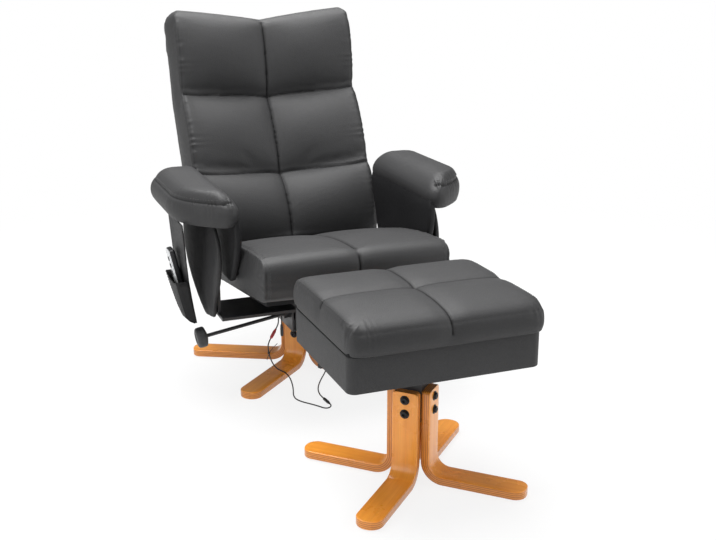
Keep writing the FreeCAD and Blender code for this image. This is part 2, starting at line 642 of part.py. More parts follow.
def back_outline(x, crown_loss, draw, dip, wrap, rise):
    """Side view of the back cushion: three swelled rows in front, flat stretches behind."""
    place = vec(x, 0, 0)
    drop = (REAR[3] - REAR[2]).normalize() * dip
    fronts = [seam + back * (draw - wrap * near) + vec(0, -back.z, back.y) * rise * up + place
              for seam, back, near, up in zip(SEAMS, JOINT_BACKS, WRAPS, RISES)]
    fronts[3] = fronts[3] - drop
    rears = [p + place for p in REAR]
    rears[3] = rears[3] - drop
    edges = []
    for index, alias in enumerate(CROWNS):
        swell = (fronts[index] + fronts[index + 1]) * 0.5 - ROW_BACKS[index] * (size(alias) - crown_loss)
        edges.append(arc(fronts[index], swell, fronts[index + 1]))
    crest = (fronts[3] + rears[3]) * 0.5 + (REAR[3] - REAR[2]).normalize() * size("head_drop")
    edges.append(arc(fronts[3], crest, rears[3]))
    for high, low in ((3, 2), (2, 1), (1, 0)):
        edges.append(line(rears[high], rears[low]))
    edges.append(line(rears[0], fronts[0]))
    return Part.Wire(edges)


def back_front_view():
    """The backrest from the front: straight sides, wider head, round shoulders, dipped top edge."""
    half, head, corner = size("back_half") + size("back_flare"), size("head_half"), size("head_corner")
    neck, top = size("neck_high"), size("head_top") + size("head_dip")
    widest = size("head_top") - corner
    low = size("back_low_high") - 2 * size("back_thick")
    front = -size("seat_front")
    bend = corner * (1 - math.sqrt(0.5))

    def at(x, z):
        return vec(x, front, z)
    shoulder = widest + corner
    right = [line(at(half, low), at(half, neck)), line(at(half, neck), at(head, widest)),
             arc(at(head, widest), at(head - bend, shoulder - bend), at(head - corner, shoulder)),
             line(at(head - corner, shoulder), at(head - 2 * corner, top))]
    left = [line(at(2 * corner - head, top), at(corner - head, shoulder)),
            arc(at(corner - head, shoulder), at(bend - head, shoulder - bend), at(-head, widest)),
            line(at(-head, widest), at(-half, neck)), line(at(-half, neck), at(-half, low))]
    crossing = [line(at(head - 2 * corner, top), at(2 * corner - head, top))]
    closing = [line(at(-half, low), at(half, low))]
    return face_of(right + crossing + left + closing).extrude(Y_AXIS * 3 * size("seat_front"))


def row_spot(index, x):
    """A motor's place on the board behind the middle of a row."""
    middle = (REAR[index] + REAR[index + 1]) * 0.5
    return vec(x, middle.y, middle.z)


back_side = (size("back_valley"), 0, 0, size("back_wrap"), size("seam_rise"))
panel_half = size("head_half") - size("back_edge")
back_middle = (size("back_valley"), 0, size("head_dip"), 0, 0)
back_swell = (0, 0, size("head_fall"), size("back_wrap") * CROWN_WRAP, size("seam_rise") / 2)
back_pad = columns(back_outline, panel_half, back_middle, back_swell, back_side)
boxing_side = (size("back_valley"), size("boxing_slope"), 0, 0, 0)
boxing = [Part.makeLoft([back_outline(sign * panel_half, *back_side),
                         back_outline(sign * size("head_half"), *boxing_side)], True, True)
          for sign in (1, -1)]
back_pad = one_solid(back_pad.fuse(boxing).common(back_front_view()))
rear_ways = [(b - a).normalize() for a, b in zip(REAR, REAR[1:])]
rear_backs = [vec(0, way.z, -way.y) for way in rear_ways]
back_spots = [(row_spot(row, side * size("back_motor_out")), rear_backs[row] * -1)
              for row in range(len(CROWNS)) for side in (1, -1)]
back_pad = back_pad.cut([motor(p, up, size("motor_gap")) for p, up in back_spots])
feature("back_cushion", one_solid(back_pad))
feature("back_motors", group([motor(p, up) for p, up in back_spots]))

board_thick = size("back_board_thick")
board_joint_backs = [rear_backs[0], (rear_backs[0] + rear_backs[1]).normalize(),
                     (rear_backs[1] + rear_backs[2]).normalize(), rear_backs[2]]
board_face = REAR[:3] + [REAR[3] - rear_ways[2] * size("back_board_drop")]
spread = [1, 1 / board_joint_backs[1].dot(rear_backs[0]), 1 / board_joint_backs[2].dot(rear_backs[1]), 1]
board_rear_face = [p + back * board_thick * s for p, back, s in zip(board_face, board_joint_backs, spread)]
back_board_half = size("back_half") - size("back_board_inset")
back_board = plate([p - X_AXIS * back_board_half for p in board_face + board_rear_face[::-1]],
                   X_AXIS * 2 * back_board_half)


# back bracket: a cross tube on the recline pin with two arms up the back board and a crank for the lock

row_up, row_back = rear_ways[0], rear_backs[0]
arm_base = REAR[0] + row_back * board_thick


def on_row(along, behind):
    """A point beside the lowest stretch of the back board: along it, and behind its rear face."""
    return arm_base + row_up * along + row_back * behind


pivot_along = (pivot - arm_base).dot(row_up)
pivot_behind = (pivot - arm_base).dot(row_back)
arm_wide = size("bracket_arm_wide")
tube_radius = size("bracket_tube_radius")
arm_side = [on_row(pivot_along - tube_radius, pivot_behind), on_row(pivot_along - tube_radius, arm_wide),
            on_row(size("bracket_arm_long"), arm_wide), on_row(size("bracket_arm_long"), 0),
            on_row(pivot_along + tube_radius, 0), on_row(pivot_along + tube_radius, pivot_behind)]
tube_half = size("bracket_tube_half")
bracket_shapes = [rod(pivot - X_AXIS * tube_half, pivot + X_AXIS * tube_half, tube_radius)]
for side in (1, -1):
    start = side * size("bracket_arm_out") - size("bracket_arm_thick") / 2
    bracket_shapes.append(plate([p + X_AXIS * start for p in arm_side], X_AXIS * size("bracket_arm_thick")))
    foot_start = side * size("bracket_arm_out") - size("bracket_foot_wide") / 2
    foot = [on_row(0, 0), on_row(0, size("bracket_arm_thick")),
            on_row(size("bracket_arm_long"), size("bracket_arm_thick")), on_row(size("bracket_arm_long"), 0)]
    bracket_shapes.append(plate([p + X_AXIS * foot_start for p in foot], X_AXIS * size("bracket_foot_wide")))
stud = pivot - Z_AXIS * size("crank_drop")
crank_x = -size("crank_inset")
crank_thick = size("crank_thick")
crank_radius = size("crank_radius")
for place in (pivot, stud):
    eye = place + X_AXIS * crank_x
    bracket_shapes.append(rod(eye, eye + X_AXIS * crank_thick, crank_radius))
bracket_shapes.append(box(vec(crank_x, stud.y - size("crank_front"), stud.z),
                          vec(crank_x + crank_thick, pivot.y + crank_radius, pivot.z)))
link_start = crank_x - size("link_gap")
link_end = link_start - size("link_thick")
bracket_shapes.append(rod(stud + X_AXIS * crank_x, stud + X_AXIS * link_end, size("stud_radius")))
bracket = bracket_shapes[0].fuse(bracket_shapes[1:])
bracket = bracket.cut(rod(pivot - X_AXIS * tube_half, pivot + X_AXIS * tube_half, pin_bore))

bolt_side = (size("bracket_foot_wide") + size("bracket_arm_thick")) / 4
back_bolt_outs = [side * (size("bracket_arm_out") + bolt_side) for side in (1, -1)]
back_bolt_ups = [size("bracket_arm_long") / 2 + sign * size("back_bolt_pitch") / 2 for sign in (1, -1)]
bolt_seats = [on_row(up, size("bracket_arm_thick")) + X_AXIS * out
              for out in back_bolt_outs for up in back_bolt_ups]


def back_bolt(seat, radius, head):
    """A screw through the bracket's foot into the back board, or the hole for it."""
    deep = seat - row_back * (size("bracket_arm_thick") + board_thick)
    shank = rod(deep, seat, radius)
    if not head:
        return shank
    cap = rod(seat, seat + row_back * size("back_bolt_head"), radius * 2)
    return one_solid(shank.fuse(cap))


bolt_clear = [back_bolt(p, size("back_bolt_radius") + size("bolt_thread_gap"), False) for p in bolt_seats]
feature("back_board", one_solid(back_board.cut(bolt_clear)))
feature("back_bracket", one_solid(bracket.cut(bolt_clear)))
feature("back_bolts", group([back_bolt(p, size("back_bolt_radius"), True) for p in bolt_seats]))


# recline lock: a flat link from the crank to the clamp screw, and the screw's rod with its round knob

slope = math.radians(size("link_slope"))
link_way = vec(0, -math.cos(slope), -math.sin(slope))
link_up = vec(0, -math.sin(slope), math.cos(slope))
half_high = size("link_high") / 2
link_tip = stud + link_way * size("link_reach")
link_side = [stud + link_up * half_high, stud - link_up * half_high,
             link_tip - link_up * half_high, link_tip + link_up * half_high]
link = plate([p + X_AXIS * link_end for p in link_side], X_AXIS * size("link_thick"))
link = link.fuse(rod(stud + X_AXIS * link_end, stud + X_AXIS * link_start, half_high))
link = link.cut(rod(stud + X_AXIS * (link_end - 1), stud + X_AXIS * (link_start + 1),
                    size("stud_radius") + size("pivot_gap")))
feature("lock_link", one_solid(link))

rod_tip_gap = size("link_gap") + size("rod_radius") * math.sin(droop)
reach_to_link = (-outer_wall - link_end) / lock_way.x
rod_inner = lock_point + lock_way * (reach_to_link + rod_tip_gap)
knob_face = lock_point + lock_way * size("knob_reach")
rod_end = knob_face + lock_way * size("rod_hold")
feature("lock_rod", rod(rod_inner, rod_end, size("rod_radius")))


def knob_body():
    """The round knob, turned about the rod's axis."""
    body = doc.addObject("PartDesign::Body", "lock_knob")
    sketch = sketch_on(body, "XZ_Plane", "knob_section")
    bore, radius, long = size("rod_radius"), size("knob_radius"), size("knob_long")
    neck, hold, edge = size("knob_neck"), size("rod_hold"), size("knob_edge")
    corners = [vec(0, hold, 0), vec(bore, hold, 0), vec(bore, 0, 0), vec(bore + neck, 0, 0),
               vec(radius, edge, 0), vec(radius, long - edge, 0),
               vec(radius - edge, long, 0), vec(0, long, 0)]
    lines = [sketch.addGeometry(Part.LineSegment(a, b)) for a, b in zip(corners, corners[1:] + corners[:1])]
    for index, edge_line in enumerate(lines):
        following = lines[(index + 1) % len(lines)]
        sketch.addConstraint(Sketcher.Constraint("Coincident", edge_line, 2, following, 1))
    spots = [("hold_x", "DistanceX", 0, "0"), ("hold_y", "DistanceY", 0, "dims.rod_hold"),
             ("bore_x", "DistanceX", 1, "dims.rod_radius"), ("bore_y", "DistanceY", 1, "dims.rod_hold"),
             ("mouth_x", "DistanceX", 2, "dims.rod_radius"), ("mouth_y", "DistanceY", 2, "0"),
             ("neck_x", "DistanceX", 3, "dims.rod_radius + dims.knob_neck"), ("neck_y", "DistanceY", 3, "0"),
             ("rim_x", "DistanceX", 4, "dims.knob_radius"), ("rim_y", "DistanceY", 4, "dims.knob_edge"),
             ("brim_x", "DistanceX", 5, "dims.knob_radius"),
             ("brim_y", "DistanceY", 5, "dims.knob_long - dims.knob_edge"),
             ("face_x", "DistanceX", 6, "dims.knob_radius - dims.knob_edge"),
             ("face_y", "DistanceY", 6, "dims.knob_long"),
             ("nose_x", "DistanceX", 7, "0"), ("nose_y", "DistanceY", 7, "dims.knob_long")]
    for name, kind, index, words in spots:
        value = corners[index].x if kind == "DistanceX" else corners[index].y
        dimension(sketch, name, words, kind, -1, 1, lines[index], 1, value)
    turn = body.newObject("PartDesign::Revolution", "turned_knob")
    turn.Profile = sketch
    turn.ReferenceAxis = (sketch, ["V_Axis"])
    turn.Angle = 360.0
    doc.recompute()
    body.Placement = FreeCAD.Placement(knob_face, FreeCAD.Rotation(Z_AXIS, lock_way))
    return keep(body, "lock_knob")


knob_body()


# arms: steel brace under the seat, padded post, and a pad with a round nose

def mirrored(shape, side):
    """The piece for one side of the chair, from the one drawn at positive X."""
    return shape if side > 0 else shape.mirror(FLOOR_CENTRE, X_AXIS)


arm_inner = size("seat_half") + size("arm_gap")
arm_outer = arm_inner + size("arm_wide")
post_inner = arm_inner + POST_INSET_SHARE * size("arm_wide")
post_outer = post_inner + POST_THICK_SHARE * size("arm_wide")


def pad_outline(draw, z):
    """A level outline of the arm pad: straight inside, swept round from the outside to a narrow nose."""
    inner, outer = arm_inner + draw, arm_outer - draw
    front, rear = draw - size("arm_front"), size("arm_rear") - draw
    wide = outer - inner
    tip, heel, heel_in = [share * wide for share in ARM_ROUNDS.values()]
    sweep_long, sweep_wide = NOSE_LONG_SHARE * wide, (1 - NOSE_TIP_SHARE) * wide
    sweep = (sweep_long ** 2 + sweep_wide ** 2) / (2 * sweep_wide)
    half_turn = math.asin(sweep_long / sweep) / 2
    bend = 1 - math.sqrt(0.5)

    def at(x, y):
        return vec(x, y, z)
    turn = at(outer - sweep * (1 - math.cos(half_turn)), front + sweep_long - sweep * math.sin(half_turn))
    stops = [at(inner, front + tip), at(inner + tip, front), at(outer - sweep_wide, front),
             at(outer, front + sweep_long), at(outer, rear - heel), at(outer - heel, rear),
             at(inner + heel_in, rear), at(inner, rear - heel_in)]
    return Part.Wire([
        arc(stops[0], at(inner + tip * bend, front + tip * bend), stops[1]), line(stops[1], stops[2]),
        arc(stops[2], turn, stops[3]), line(stops[3], stops[4]),
        arc(stops[4], at(outer - heel * bend, rear - heel * bend), stops[5]), line(stops[5], stops[6]),
        arc(stops[6], at(inner + heel_in * bend, rear - heel_in * bend), stops[7]), line(stops[7], stops[0]),
    ])


def arm_pad():
    """A loaf-shaped arm pad: drawn in below, full at the belly, crowned on top."""
    levels = [(size("arm_low"), size("arm_low_draw")), (size("arm_low") + size("arm_belly"), 0),
              (size("arm_high") - size("arm_shoulder"), size("arm_shoulder_draw")),
              (size("arm_high"), size("arm_top_draw"))]
    return loft([pad_outline(draw, z) for z, draw in levels])


def arm_panel():
    """The padded board between pad and seat, let up into the pad, with a batten against the post."""
    front, rear = size("arm_panel_set") - size("arm_front"), size("arm_rear") - size("arm_panel_rear_set")
    top, radius = size("arm_low"), size("arm_panel_round")
    low, high = top - size("arm_panel_deep"), top + size("arm_belly")
    heel, knee = [size("back_low_front") - size(gap) for gap in ("arm_panel_heel_gap", "arm_panel_bend_gap")]
    knee_high = top - size("arm_panel_bend_drop")
    bend = radius * (1 - math.sqrt(0.5))

    def at(y, z):
        return vec(arm_inner, y, z)
    side = [line(at(front, high), at(front, low + radius)),
            arc(at(front, low + radius), at(front + bend, low + bend), at(front + radius, low)),
            line(at(front + radius, low), at(heel, low)), line(at(heel, low), at(knee, knee_high)),
            line(at(knee, knee_high), at(rear, top)), line(at(rear, top), at(rear, high)),
            line(at(rear, high), at(front, high))]
    board = face_of(side).extrude(X_AXIS * size("arm_panel_thick"))
    batten_low = size("brace_low") + size("brace_rise") + size("batten_gap")
    batten_front = size("post_neck_draw") + size("batten_inset") - size("post_front")
    batten = box(vec(arm_inner + size("arm_panel_thick"), batten_front, batten_low),
                 vec(post_inner, -size("post_rear") - size("batten_inset"), top))
    return one_solid(board.fuse(batten).cut(arm_pad()))


def leaf_outline(z, thick, front, rear):
    """A level outline of the post: flat inside, slanting from a front ridge out to the rear edge."""
    inner, edge = post_inner, min(size("post_edge"), thick * POST_EDGE_SHARE)
    corners = [vec(inner, front, z), vec(inner + edge, front, z), vec(inner + thick, rear - edge, z),
               vec(inner + thick, rear, z), vec(inner, rear, z)]
    ways = [(b - a).normalize() for a, b in zip(corners, corners[1:] + corners[:1])]
    edges, last = [], None
    for index, corner in enumerate(corners):
        coming, going = ways[index - 1], ways[index]
        turn = math.acos(coming.dot(going))
        step = size("post_round") * math.tan(turn / 2)
        centre_way = (going - coming).normalize()
        bulge = size("post_round") * (1 / math.cos(turn / 2) - 1)
        begin, finish = corner - coming * step, corner + going * step
        if last is not None:
            edges.append(line(last, begin))
        edges.append(arc(begin, corner + centre_way * bulge, finish))
        last = finish
    edges.append(line(last, edges[0].Vertexes[0].Point))
    return Part.Wire(edges)


def arm_post():
    """The padded post under the pad: a leaf that is widest below the pad and narrows to its foot."""
    thick, front, rear = post_outer - post_inner, -size("post_front"), -size("post_rear")
    middle = (front + rear) / 2
    foot_half = size("post_foot_long") / 2
    neck, waist = size("post_neck_draw"), size("post_waist_draw")
    return loft([
        leaf_outline(size("post_foot"), size("post_foot_thick"), middle - foot_half, middle + foot_half),
        leaf_outline(size("post_foot") + size("post_waist_rise"), thick * POST_WAIST_SHARE, front + waist,
                     rear - waist),
        leaf_outline(size("arm_low") - size("post_full_drop"), thick, front, rear),
        leaf_outline(size("arm_low"), thick, front + neck, rear),
    ])


brace_top = size("brace_low") + size("brace_thick")
flange_front = -(size("post_front") + size("post_rear")) / 2 - size("brace_flange") / 2
flange_rear = flange_front + size("brace_flange")
brace = box(vec(outer_wall, -size("brace_front"), size("brace_low")),
            vec(post_inner, -size("brace_rear"), brace_top))
flange = box(vec(post_inner - size("brace_thick"), flange_front, size("brace_low")),
             vec(post_inner, flange_rear, size("brace_low") + size("brace_rise")))
brace = one_solid(brace.fuse(flange))
arm_bolt_high = size("brace_low") + size("brace_rise") - size("brace_flange") / 2
flange_mid = (flange_front + flange_rear) / 2
arm_bolt_ends = [vec(post_inner - size("brace_thick"), flange_mid, arm_bolt_high - drop)
                 for drop in (0, size("arm_bolt_pitch"))]


def arm_bolt(seat, radius, head):
    """A screw through the brace's flange into the post, or the hole for it."""
    shank = rod(seat, seat + X_AXIS * (size("brace_thick") + size("arm_bolt_deep")), radius)
    if not head:
        return shank
    return one_solid(shank.fuse(rod(seat - X_AXIS * size("arm_bolt_head"), seat, radius * 2)))


arm_holes = [arm_bolt(p, size("arm_bolt_radius") + size("bolt_thread_gap"), False) for p in arm_bolt_ends]
arm_braces = []
for name, side in SIDES:
    arm_braces.append(mirrored(one_solid(brace.cut(arm_holes)), side))
    feature(f"arm_post_{name}", mirrored(one_solid(arm_post().cut(arm_holes)), side))
    feature(f"arm_panel_{name}", mirrored(arm_panel(), side))
    feature(f"arm_pad_{name}", mirrored(arm_pad(), side))
    seat_bolts += [mirrored(arm_bolt(p, size("arm_bolt_radius"), True), side) for p in arm_bolt_ends]
feature("arm_braces", group(arm_braces))
feature("seat_bolts", group(seat_bolts))


# control box under the seat, with a gland for each lead

box_high = brace_top - size("brace_thick")
box_low = box_high - size("box_high")
box_outer = -outer_wall - size("box_wide")
box_rear = -size("box_front") + size("box_long")
control_box = box(vec(box_outer, -size("box_front"), box_low), vec(-outer_wall, box_rear, box_high))
gland_y = -size("box_front") + size("gland_back")
gland_xs = {"black": -outer_wall - size("gland_inset"),
            "red": -outer_wall - size("gland_inset") - size("gland_pitch")}
gland_low = box_low - size("gland_long")
glands = [rod(vec(x, gland_y, gland_low), vec(x, gland_y, box_low), size("gland_radius"))
          for x in gland_xs.values()]
feature("control_box", one_solid(control_box.fuse(glands)))


# side pocket with the hand control standing in it

def pocket_side():
    """Side view of the pocket's back panel and pouch, at the sitter's right."""
    wall = size("pocket_wall")
    top = vec(size("pocket_inset") - arm_outer, 0, size("arm_low"))
    knee = vec(top.x + size("pocket_knee_step"), 0, size("pocket_knee"))
    mouth_out = vec(top.x - size("pocket_mouth_step"), 0, size("pocket_mouth"))
    mouth_in = mouth_out + X_AXIS * size("pocket_mouth_deep")
    low_out = vec(top.x + size("pocket_low_step"), 0, size("pocket_low"))
    low_in = low_out + X_AXIS * size("pocket_low_deep")
    return top, knee, mouth_in, mouth_out, low_out, low_in, X_AXIS * wall


def side_pocket():
    """A sewn pouch that hangs from the arm pad by its back panel."""
    top, knee, mouth_in, mouth_out, low_out, low_in, wall = pocket_side()
    wide = Y_AXIS * (size("pocket_front") - size("pocket_rear"))
    start = vec(0, -size("pocket_front"), 0)

    def panel(points):
        return plate([p + start for p in points], wide)
    flap = panel([top, knee, knee + wall, top + wall])
    back = panel([knee, mouth_in, low_in, low_in + wall, mouth_in + wall, knee + wall])
    pouch = panel([mouth_out, low_out, low_in, mouth_in])
    hollow_low = Z_AXIS * size("pocket_wall")
    hollow = [mouth_out + wall, low_out + wall + hollow_low, low_in + hollow_low, mouth_in]
    space = plate([p + start + Y_AXIS * size("pocket_wall") for p in hollow],
                  wide - Y_AXIS * 2 * size("pocket_wall"))
    return one_solid(flap.fuse([back, pouch]).cut(space))


feature("side_pocket", side_pocket())

tilt = math.radians(size("remote_tilt"))
half_thick, half_wide = size("remote_thick") / 2, size("remote_wide") / 2
corner_round = size("remote_round")
remote_drop = (half_thick - corner_round) * math.sin(tilt) + \
    (size("remote_long") - corner_round) * math.cos(tilt) + corner_round
remote_top = size("pocket_low") + size("pocket_wall") + size("remote_seat_gap") + remote_drop
mouth_out, low_out = pocket_side()[3:5]
pouch_lean = (low_out.x - mouth_out.x) / (mouth_out.z - low_out.z)
remote_foot = remote_top - half_thick * math.sin(tilt) - size("remote_long") * math.cos(tilt)
wall_inside = low_out.x + size("pocket_wall") - pouch_lean * (remote_foot - low_out.z)
remote_lean = size("remote_long") * math.sin(tilt) - half_thick * math.cos(tilt)
remote_x = wall_inside + size("remote_wall_gap") - remote_lean
remote_place = FreeCAD.Placement(vec(remote_x, -size("remote_mid"), remote_top),
                                 FreeCAD.Rotation(Y_AXIS, -size("remote_tilt")))
KEYS = ("power", "mode", "heat")


def key_spot(index):
    """The middle of a key on the hand control's outer face, in its own upright frame."""
    return vec(-size("remote_thick") / 2, 0, -size("key_first") - index * size("key_pitch"))


def key_shape(index, grow):
    """One round key, or the pocket that it moves in."""
    spot = key_spot(index)
    floor = size("key_deep") + (size("key_proud") if grow else 0)
    return rod(spot + X_AXIS * floor, spot - X_AXIS * size("key_proud"), size("key_radius") + grow)


case = box(vec(-half_thick, -half_wide, -size("remote_long")), vec(half_thick, half_wide, 0))
case = case.makeFillet(corner_round, case.Edges)
case = case.cut([key_shape(i, size("key_gap")) for i in range(len(KEYS))])
feature("remote_case", one_solid(case), remote_place)
for index, name in enumerate(KEYS):
    feature(f"remote_key_{name}", key_shape(index, 0), remote_place)


# footstool

stool = vec(0, -size("stool_gap"), 0)
for number, angle in enumerate(leg_angles("stool", STOOL_LEGS), start=1):
    bent_leg(f"stool_leg_{number}", "stool", STOOL_LEGS, angle, stool)
feature("stool_leg_bolts", leg_bolts("stool", STOOL_LEGS, stool))
feature("stool_glides", glides("stool", STOOL_LEGS, stool))
flange_low = size("stool_low") - size("stool_flange_thick")
half_flange = size("stool_flange_side") / 2
stool_hub = hub_prism("stool", STOOL_LEGS, size("stool_hub_low"), flange_low)
stool_hub = stool_hub.fuse(box(vec(-half_flange, -half_flange, flange_low),
                               vec(half_flange, half_flange, size("stool_low"))))
hub_hollow = Part.makeCylinder(size("stool_hub_bore"), flange_low - size("stool_hub_low"),
                               vec(0, 0, size("stool_hub_low")))
stool_hub = stool_hub.cut(bolt_bores("stool", STOOL_LEGS) + [hub_hollow])
feature("stool_hub", one_solid(stool_hub), turned(0, stool))

half_box, half_deep = size("stool_wide") / 2, size("stool_deep") / 2


def level_block(half_x, half_y, low, high, radius):
    """A block with round upright edges, about the footstool's axis."""
    wire = rounded_outline(-half_x, half_x, -half_y, half_y, low, [radius] * 4)
    return Part.Face(wire).extrude(Z_AXIS * (high - low))


wall = size("stool_wall")
outside = level_block(half_box, half_deep, size("stool_low"), size("stool_rim"), size("stool_round"))
inside = level_block(half_box - wall, half_deep - wall, size("stool_low") + size("stool_floor"),
                     size("stool_rim"), size("stool_round") - wall / 2)
feature("stool_box", one_solid(outside.cut(inside)), turned(0, stool))

lid_low = size("stool_rim")
lid_seat = lid_low + size("lid_board_thick")
inset = size("lid_board_inset")
lid_board = level_block(half_box - inset, half_deep - inset, lid_low, lid_seat, size("stool_round") - inset)
feature("lid_board", lid_board, turned(0, stool))


def lid_pad(sx, sy):
    """One of the four swelled squares on top of the lid cushion."""
    edge_x, edge_y = size("lid_wide") / 2, size("lid_deep") / 2
    belly = lid_seat + size("lid_belly")
    levels = [(belly - 1, 0, 0), (size("lid_high") - size("lid_valley") / 3, size("lid_shoulder_draw"), 2),
              (size("lid_high"), size("lid_top_draw"), size("lid_top_draw") / 2)]
    sections = []
    for z, draw, middle_draw in levels:
        xs = sorted([sx * middle_draw, sx * (edge_x - draw)])
        ys = sorted([sy * middle_draw, sy * (edge_y - draw)])
        sections.append(rounded_outline(*xs, *ys, z, [size("lid_pad_round")] * 4))
    return loft(sections)


def lid_cushion():
    """The lid's cushion: a drawn-in rim below, four swelled squares above."""
    edge_x, edge_y, draw = size("lid_wide") / 2, size("lid_deep") / 2, size("lid_low_draw")
    belly = lid_seat + size("lid_belly")
    rim = loft([rounded_outline(draw - edge_x, edge_x - draw, draw - edge_y, edge_y - draw, lid_seat,
                                [size("lid_round") - draw] * 4),
                rounded_outline(-edge_x, edge_x, -edge_y, edge_y, belly, [size("lid_round")] * 4)])
    return one_solid(rim.fuse([lid_pad(sx, sy) for sx in (1, -1) for sy in (1, -1)]))


feature("lid_cushion", lid_cushion(), turned(0, stool))


# lid hinges at the footstool's edge next to the chair

hinge_y = half_deep + size("hinge_back")
hinge_z = lid_low + size("hinge_rise")
leaf_thick = size("hinge_leaf_thick")


def knuckle(start, end):
    """A hinge knuckle along X."""
    return rod(vec(start, hinge_y, hinge_z), vec(end, hinge_y, hinge_z), size("hinge_radius"))


def box_leaf(x):
    """The leaf on the box wall with its two knuckles and the pin."""
    half, gap = size("hinge_knuckle") / 2, size("hinge_gap")
    end = half + size("hinge_knuckle")
    shapes = [rod(vec(x - end, hinge_y, hinge_z), vec(x + end, hinge_y, hinge_z), size("hinge_pin_radius"))]
    for low, high in ((x - end, x - half - gap), (x + half + gap, x + end)):
        shapes.append(knuckle(low, high))
        shapes.append(box(vec(low, half_deep, lid_low - size("hinge_leaf_long")),
                          vec(high, half_deep + leaf_thick, lid_low - size("hinge_gap"))))
        shapes.append(box(vec(low, half_deep, lid_low - size("hinge_leaf_long") / 2),
                          vec(high, hinge_y, lid_low - size("hinge_leaf_long") / 2 + leaf_thick)))
        shapes.append(box(vec(low, hinge_y - leaf_thick, lid_low - size("hinge_leaf_long") / 2),
                          vec(high, hinge_y, hinge_z)))
    shapes.append(box(vec(x - end, half_deep, lid_low - size("hinge_leaf_long")),
                      vec(x + end, half_deep + leaf_thick, lid_low - size("hinge_leaf_long") / 2)))
    return one_solid(shapes[0].fuse(shapes[1:]))


def lid_leaf(x):
    """The leaf on the edge of the lid board with its knuckle."""
    half = size("hinge_knuckle") / 2
    edge_y, half_leaf = half_deep - inset, leaf_thick / 2
    shapes = [knuckle(x - half, x + half),
              box(vec(x - half, edge_y, hinge_z - half_leaf), vec(x + half, hinge_y, hinge_z + half_leaf)),
              box(vec(x - half, edge_y, lid_low + size("hinge_gap")),
                  vec(x + half, edge_y + leaf_thick, lid_seat - size("hinge_gap")))]
    bore = rod(vec(x - half, hinge_y, hinge_z), vec(x + half, hinge_y, hinge_z),
               size("hinge_pin_radius") + size("hinge_bore_gap"))
    return one_solid(shapes[0].fuse(shapes[1:]).cut(bore))


hinge_xs = (size("hinge_out"), -size("hinge_out"))
feature("box_hinges", group([box_leaf(x) for x in hinge_xs]), turned(0, stool))
feature("lid_hinges", group([lid_leaf(x) for x in hinge_xs]), turned(0, stool))


# leads under the seat: two short leads with plugs, and a long one that lies over a leg and on the floor

def tube(label, points):
    """A lead: straight runs joined by the largest round bends that fit."""
    edges = []
    start = points[0]
    length = 0.0
    radii = []
    for before, corner, after in zip(points, points[1:], points[2:]):
        way_in = (corner - before).normalize()
        way_out = (after - corner).normalize()
        half_turn = way_in.getAngle(way_out) / 2
        cut = 0.45 * min((corner - before).Length, (after - corner).Length)
        radius = cut / math.tan(half_turn)
        first = corner - way_in * cut
        last = corner + way_out * cut
        inward = (way_out - way_in).normalize()
        middle = corner + inward * (radius / math.cos(half_turn) - radius)
        edges += [line(start, first), arc(first, middle, last)]
        start = last
        radii.append(round(radius, 1))
    edges.append(line(start, points[-1]))
    path = Part.Wire(edges)
    section = Part.Wire([Part.Circle(points[0], points[1] - points[0], size("lead_radius")).toShape()])
    solid = path.makePipeShell([section], True, True)
    volume = math.pi * size("lead_radius") ** 2 * path.Length
    print(f"{label}: length {path.Length:.1f}, radii {radii}, volume ratio {solid.Volume / volume:.4f}")
    return feature(label, solid)


lead_end = gland_low - size("lead_drop")
black_top = vec(gland_xs["black"], gland_y, gland_low)
black_low = vec(gland_xs["black"], gland_y, lead_end)
feature("black_lead", rod(black_top, black_low, size("lead_radius")))
feature("black_plug", rod(black_low, black_low - Z_AXIS * size("black_plug_long"), size("plug_radius")))

red_top = vec(gland_xs["red"], gland_y, gland_low)
red_plug_top = vec(-122, gland_y, 150)
red_plug_low = vec(-138, gland_y - 1, 124)
plug_way = (red_plug_low - red_plug_top).normalize()
PLUG_RUN = 14
red_bend = vec(gland_xs["red"], gland_y, 180)
tube("red_lead", [red_top, red_bend, red_plug_top - plug_way * PLUG_RUN, red_plug_top])
feature("red_plug", rod(red_plug_top, red_plug_low, size("plug_radius")))

tie_point = vec(-147, -130, 84)
inline_start = vec(-45.7, -348.3, size("inline_radius"))
inline_end = vec(-49, -310, size("inline_radius"))
POWER_ROUTE = [
    red_plug_low, red_plug_low + plug_way * PLUG_RUN, vec(-148, -126.5, 99), tie_point, vec(-143.5, -132, 68),
    vec(-137, -134, 51), vec(-128, -137, 38), vec(-118, -143, 32), vec(-107, -157, 29), vec(-101, -178, 20),
    vec(-102, -203, 8), vec(-109, -230, 2.6), vec(-118, -258, 2), vec(-119, -284, 2), vec(-108, -307, 2),
    vec(-92, -327, 2), vec(-78, -347, 2), vec(-66, -368, 2), vec(-53.6, -369.5, 2.4),
    vec(-44.6, -360.8, size("inline_radius")), inline_start,
]
tube("power_lead", POWER_ROUTE)
feature("inline_plug", rod(inline_start, inline_end, size("inline_radius")))
clip_angle = math.radians(leg_angles("chair", CHAIR_LEGS)[2])
leg_out = vec(math.cos(clip_angle), math.sin(clip_angle), 0)
leg_side = vec(math.sin(clip_angle), -math.cos(clip_angle), 0)
clip_foot = leg_out * size("clip_reach") + leg_side * (size("leg_width") / 2) + Z_AXIS * size("clip_low")
half_clip = size("clip_side") / 2
clip_corners = [clip_foot - leg_out * half_clip, clip_foot + leg_out * half_clip,
                clip_foot + leg_out * half_clip + leg_side * size("clip_side"),
                clip_foot - leg_out * half_clip + leg_side * size("clip_side")]
feature("lead_clip", plate(clip_corners, Z_AXIS * size("clip_high")))
clip_mouth = clip_foot + leg_side * half_clip + leg_out * half_clip + Z_AXIS * size("clip_high") / 2
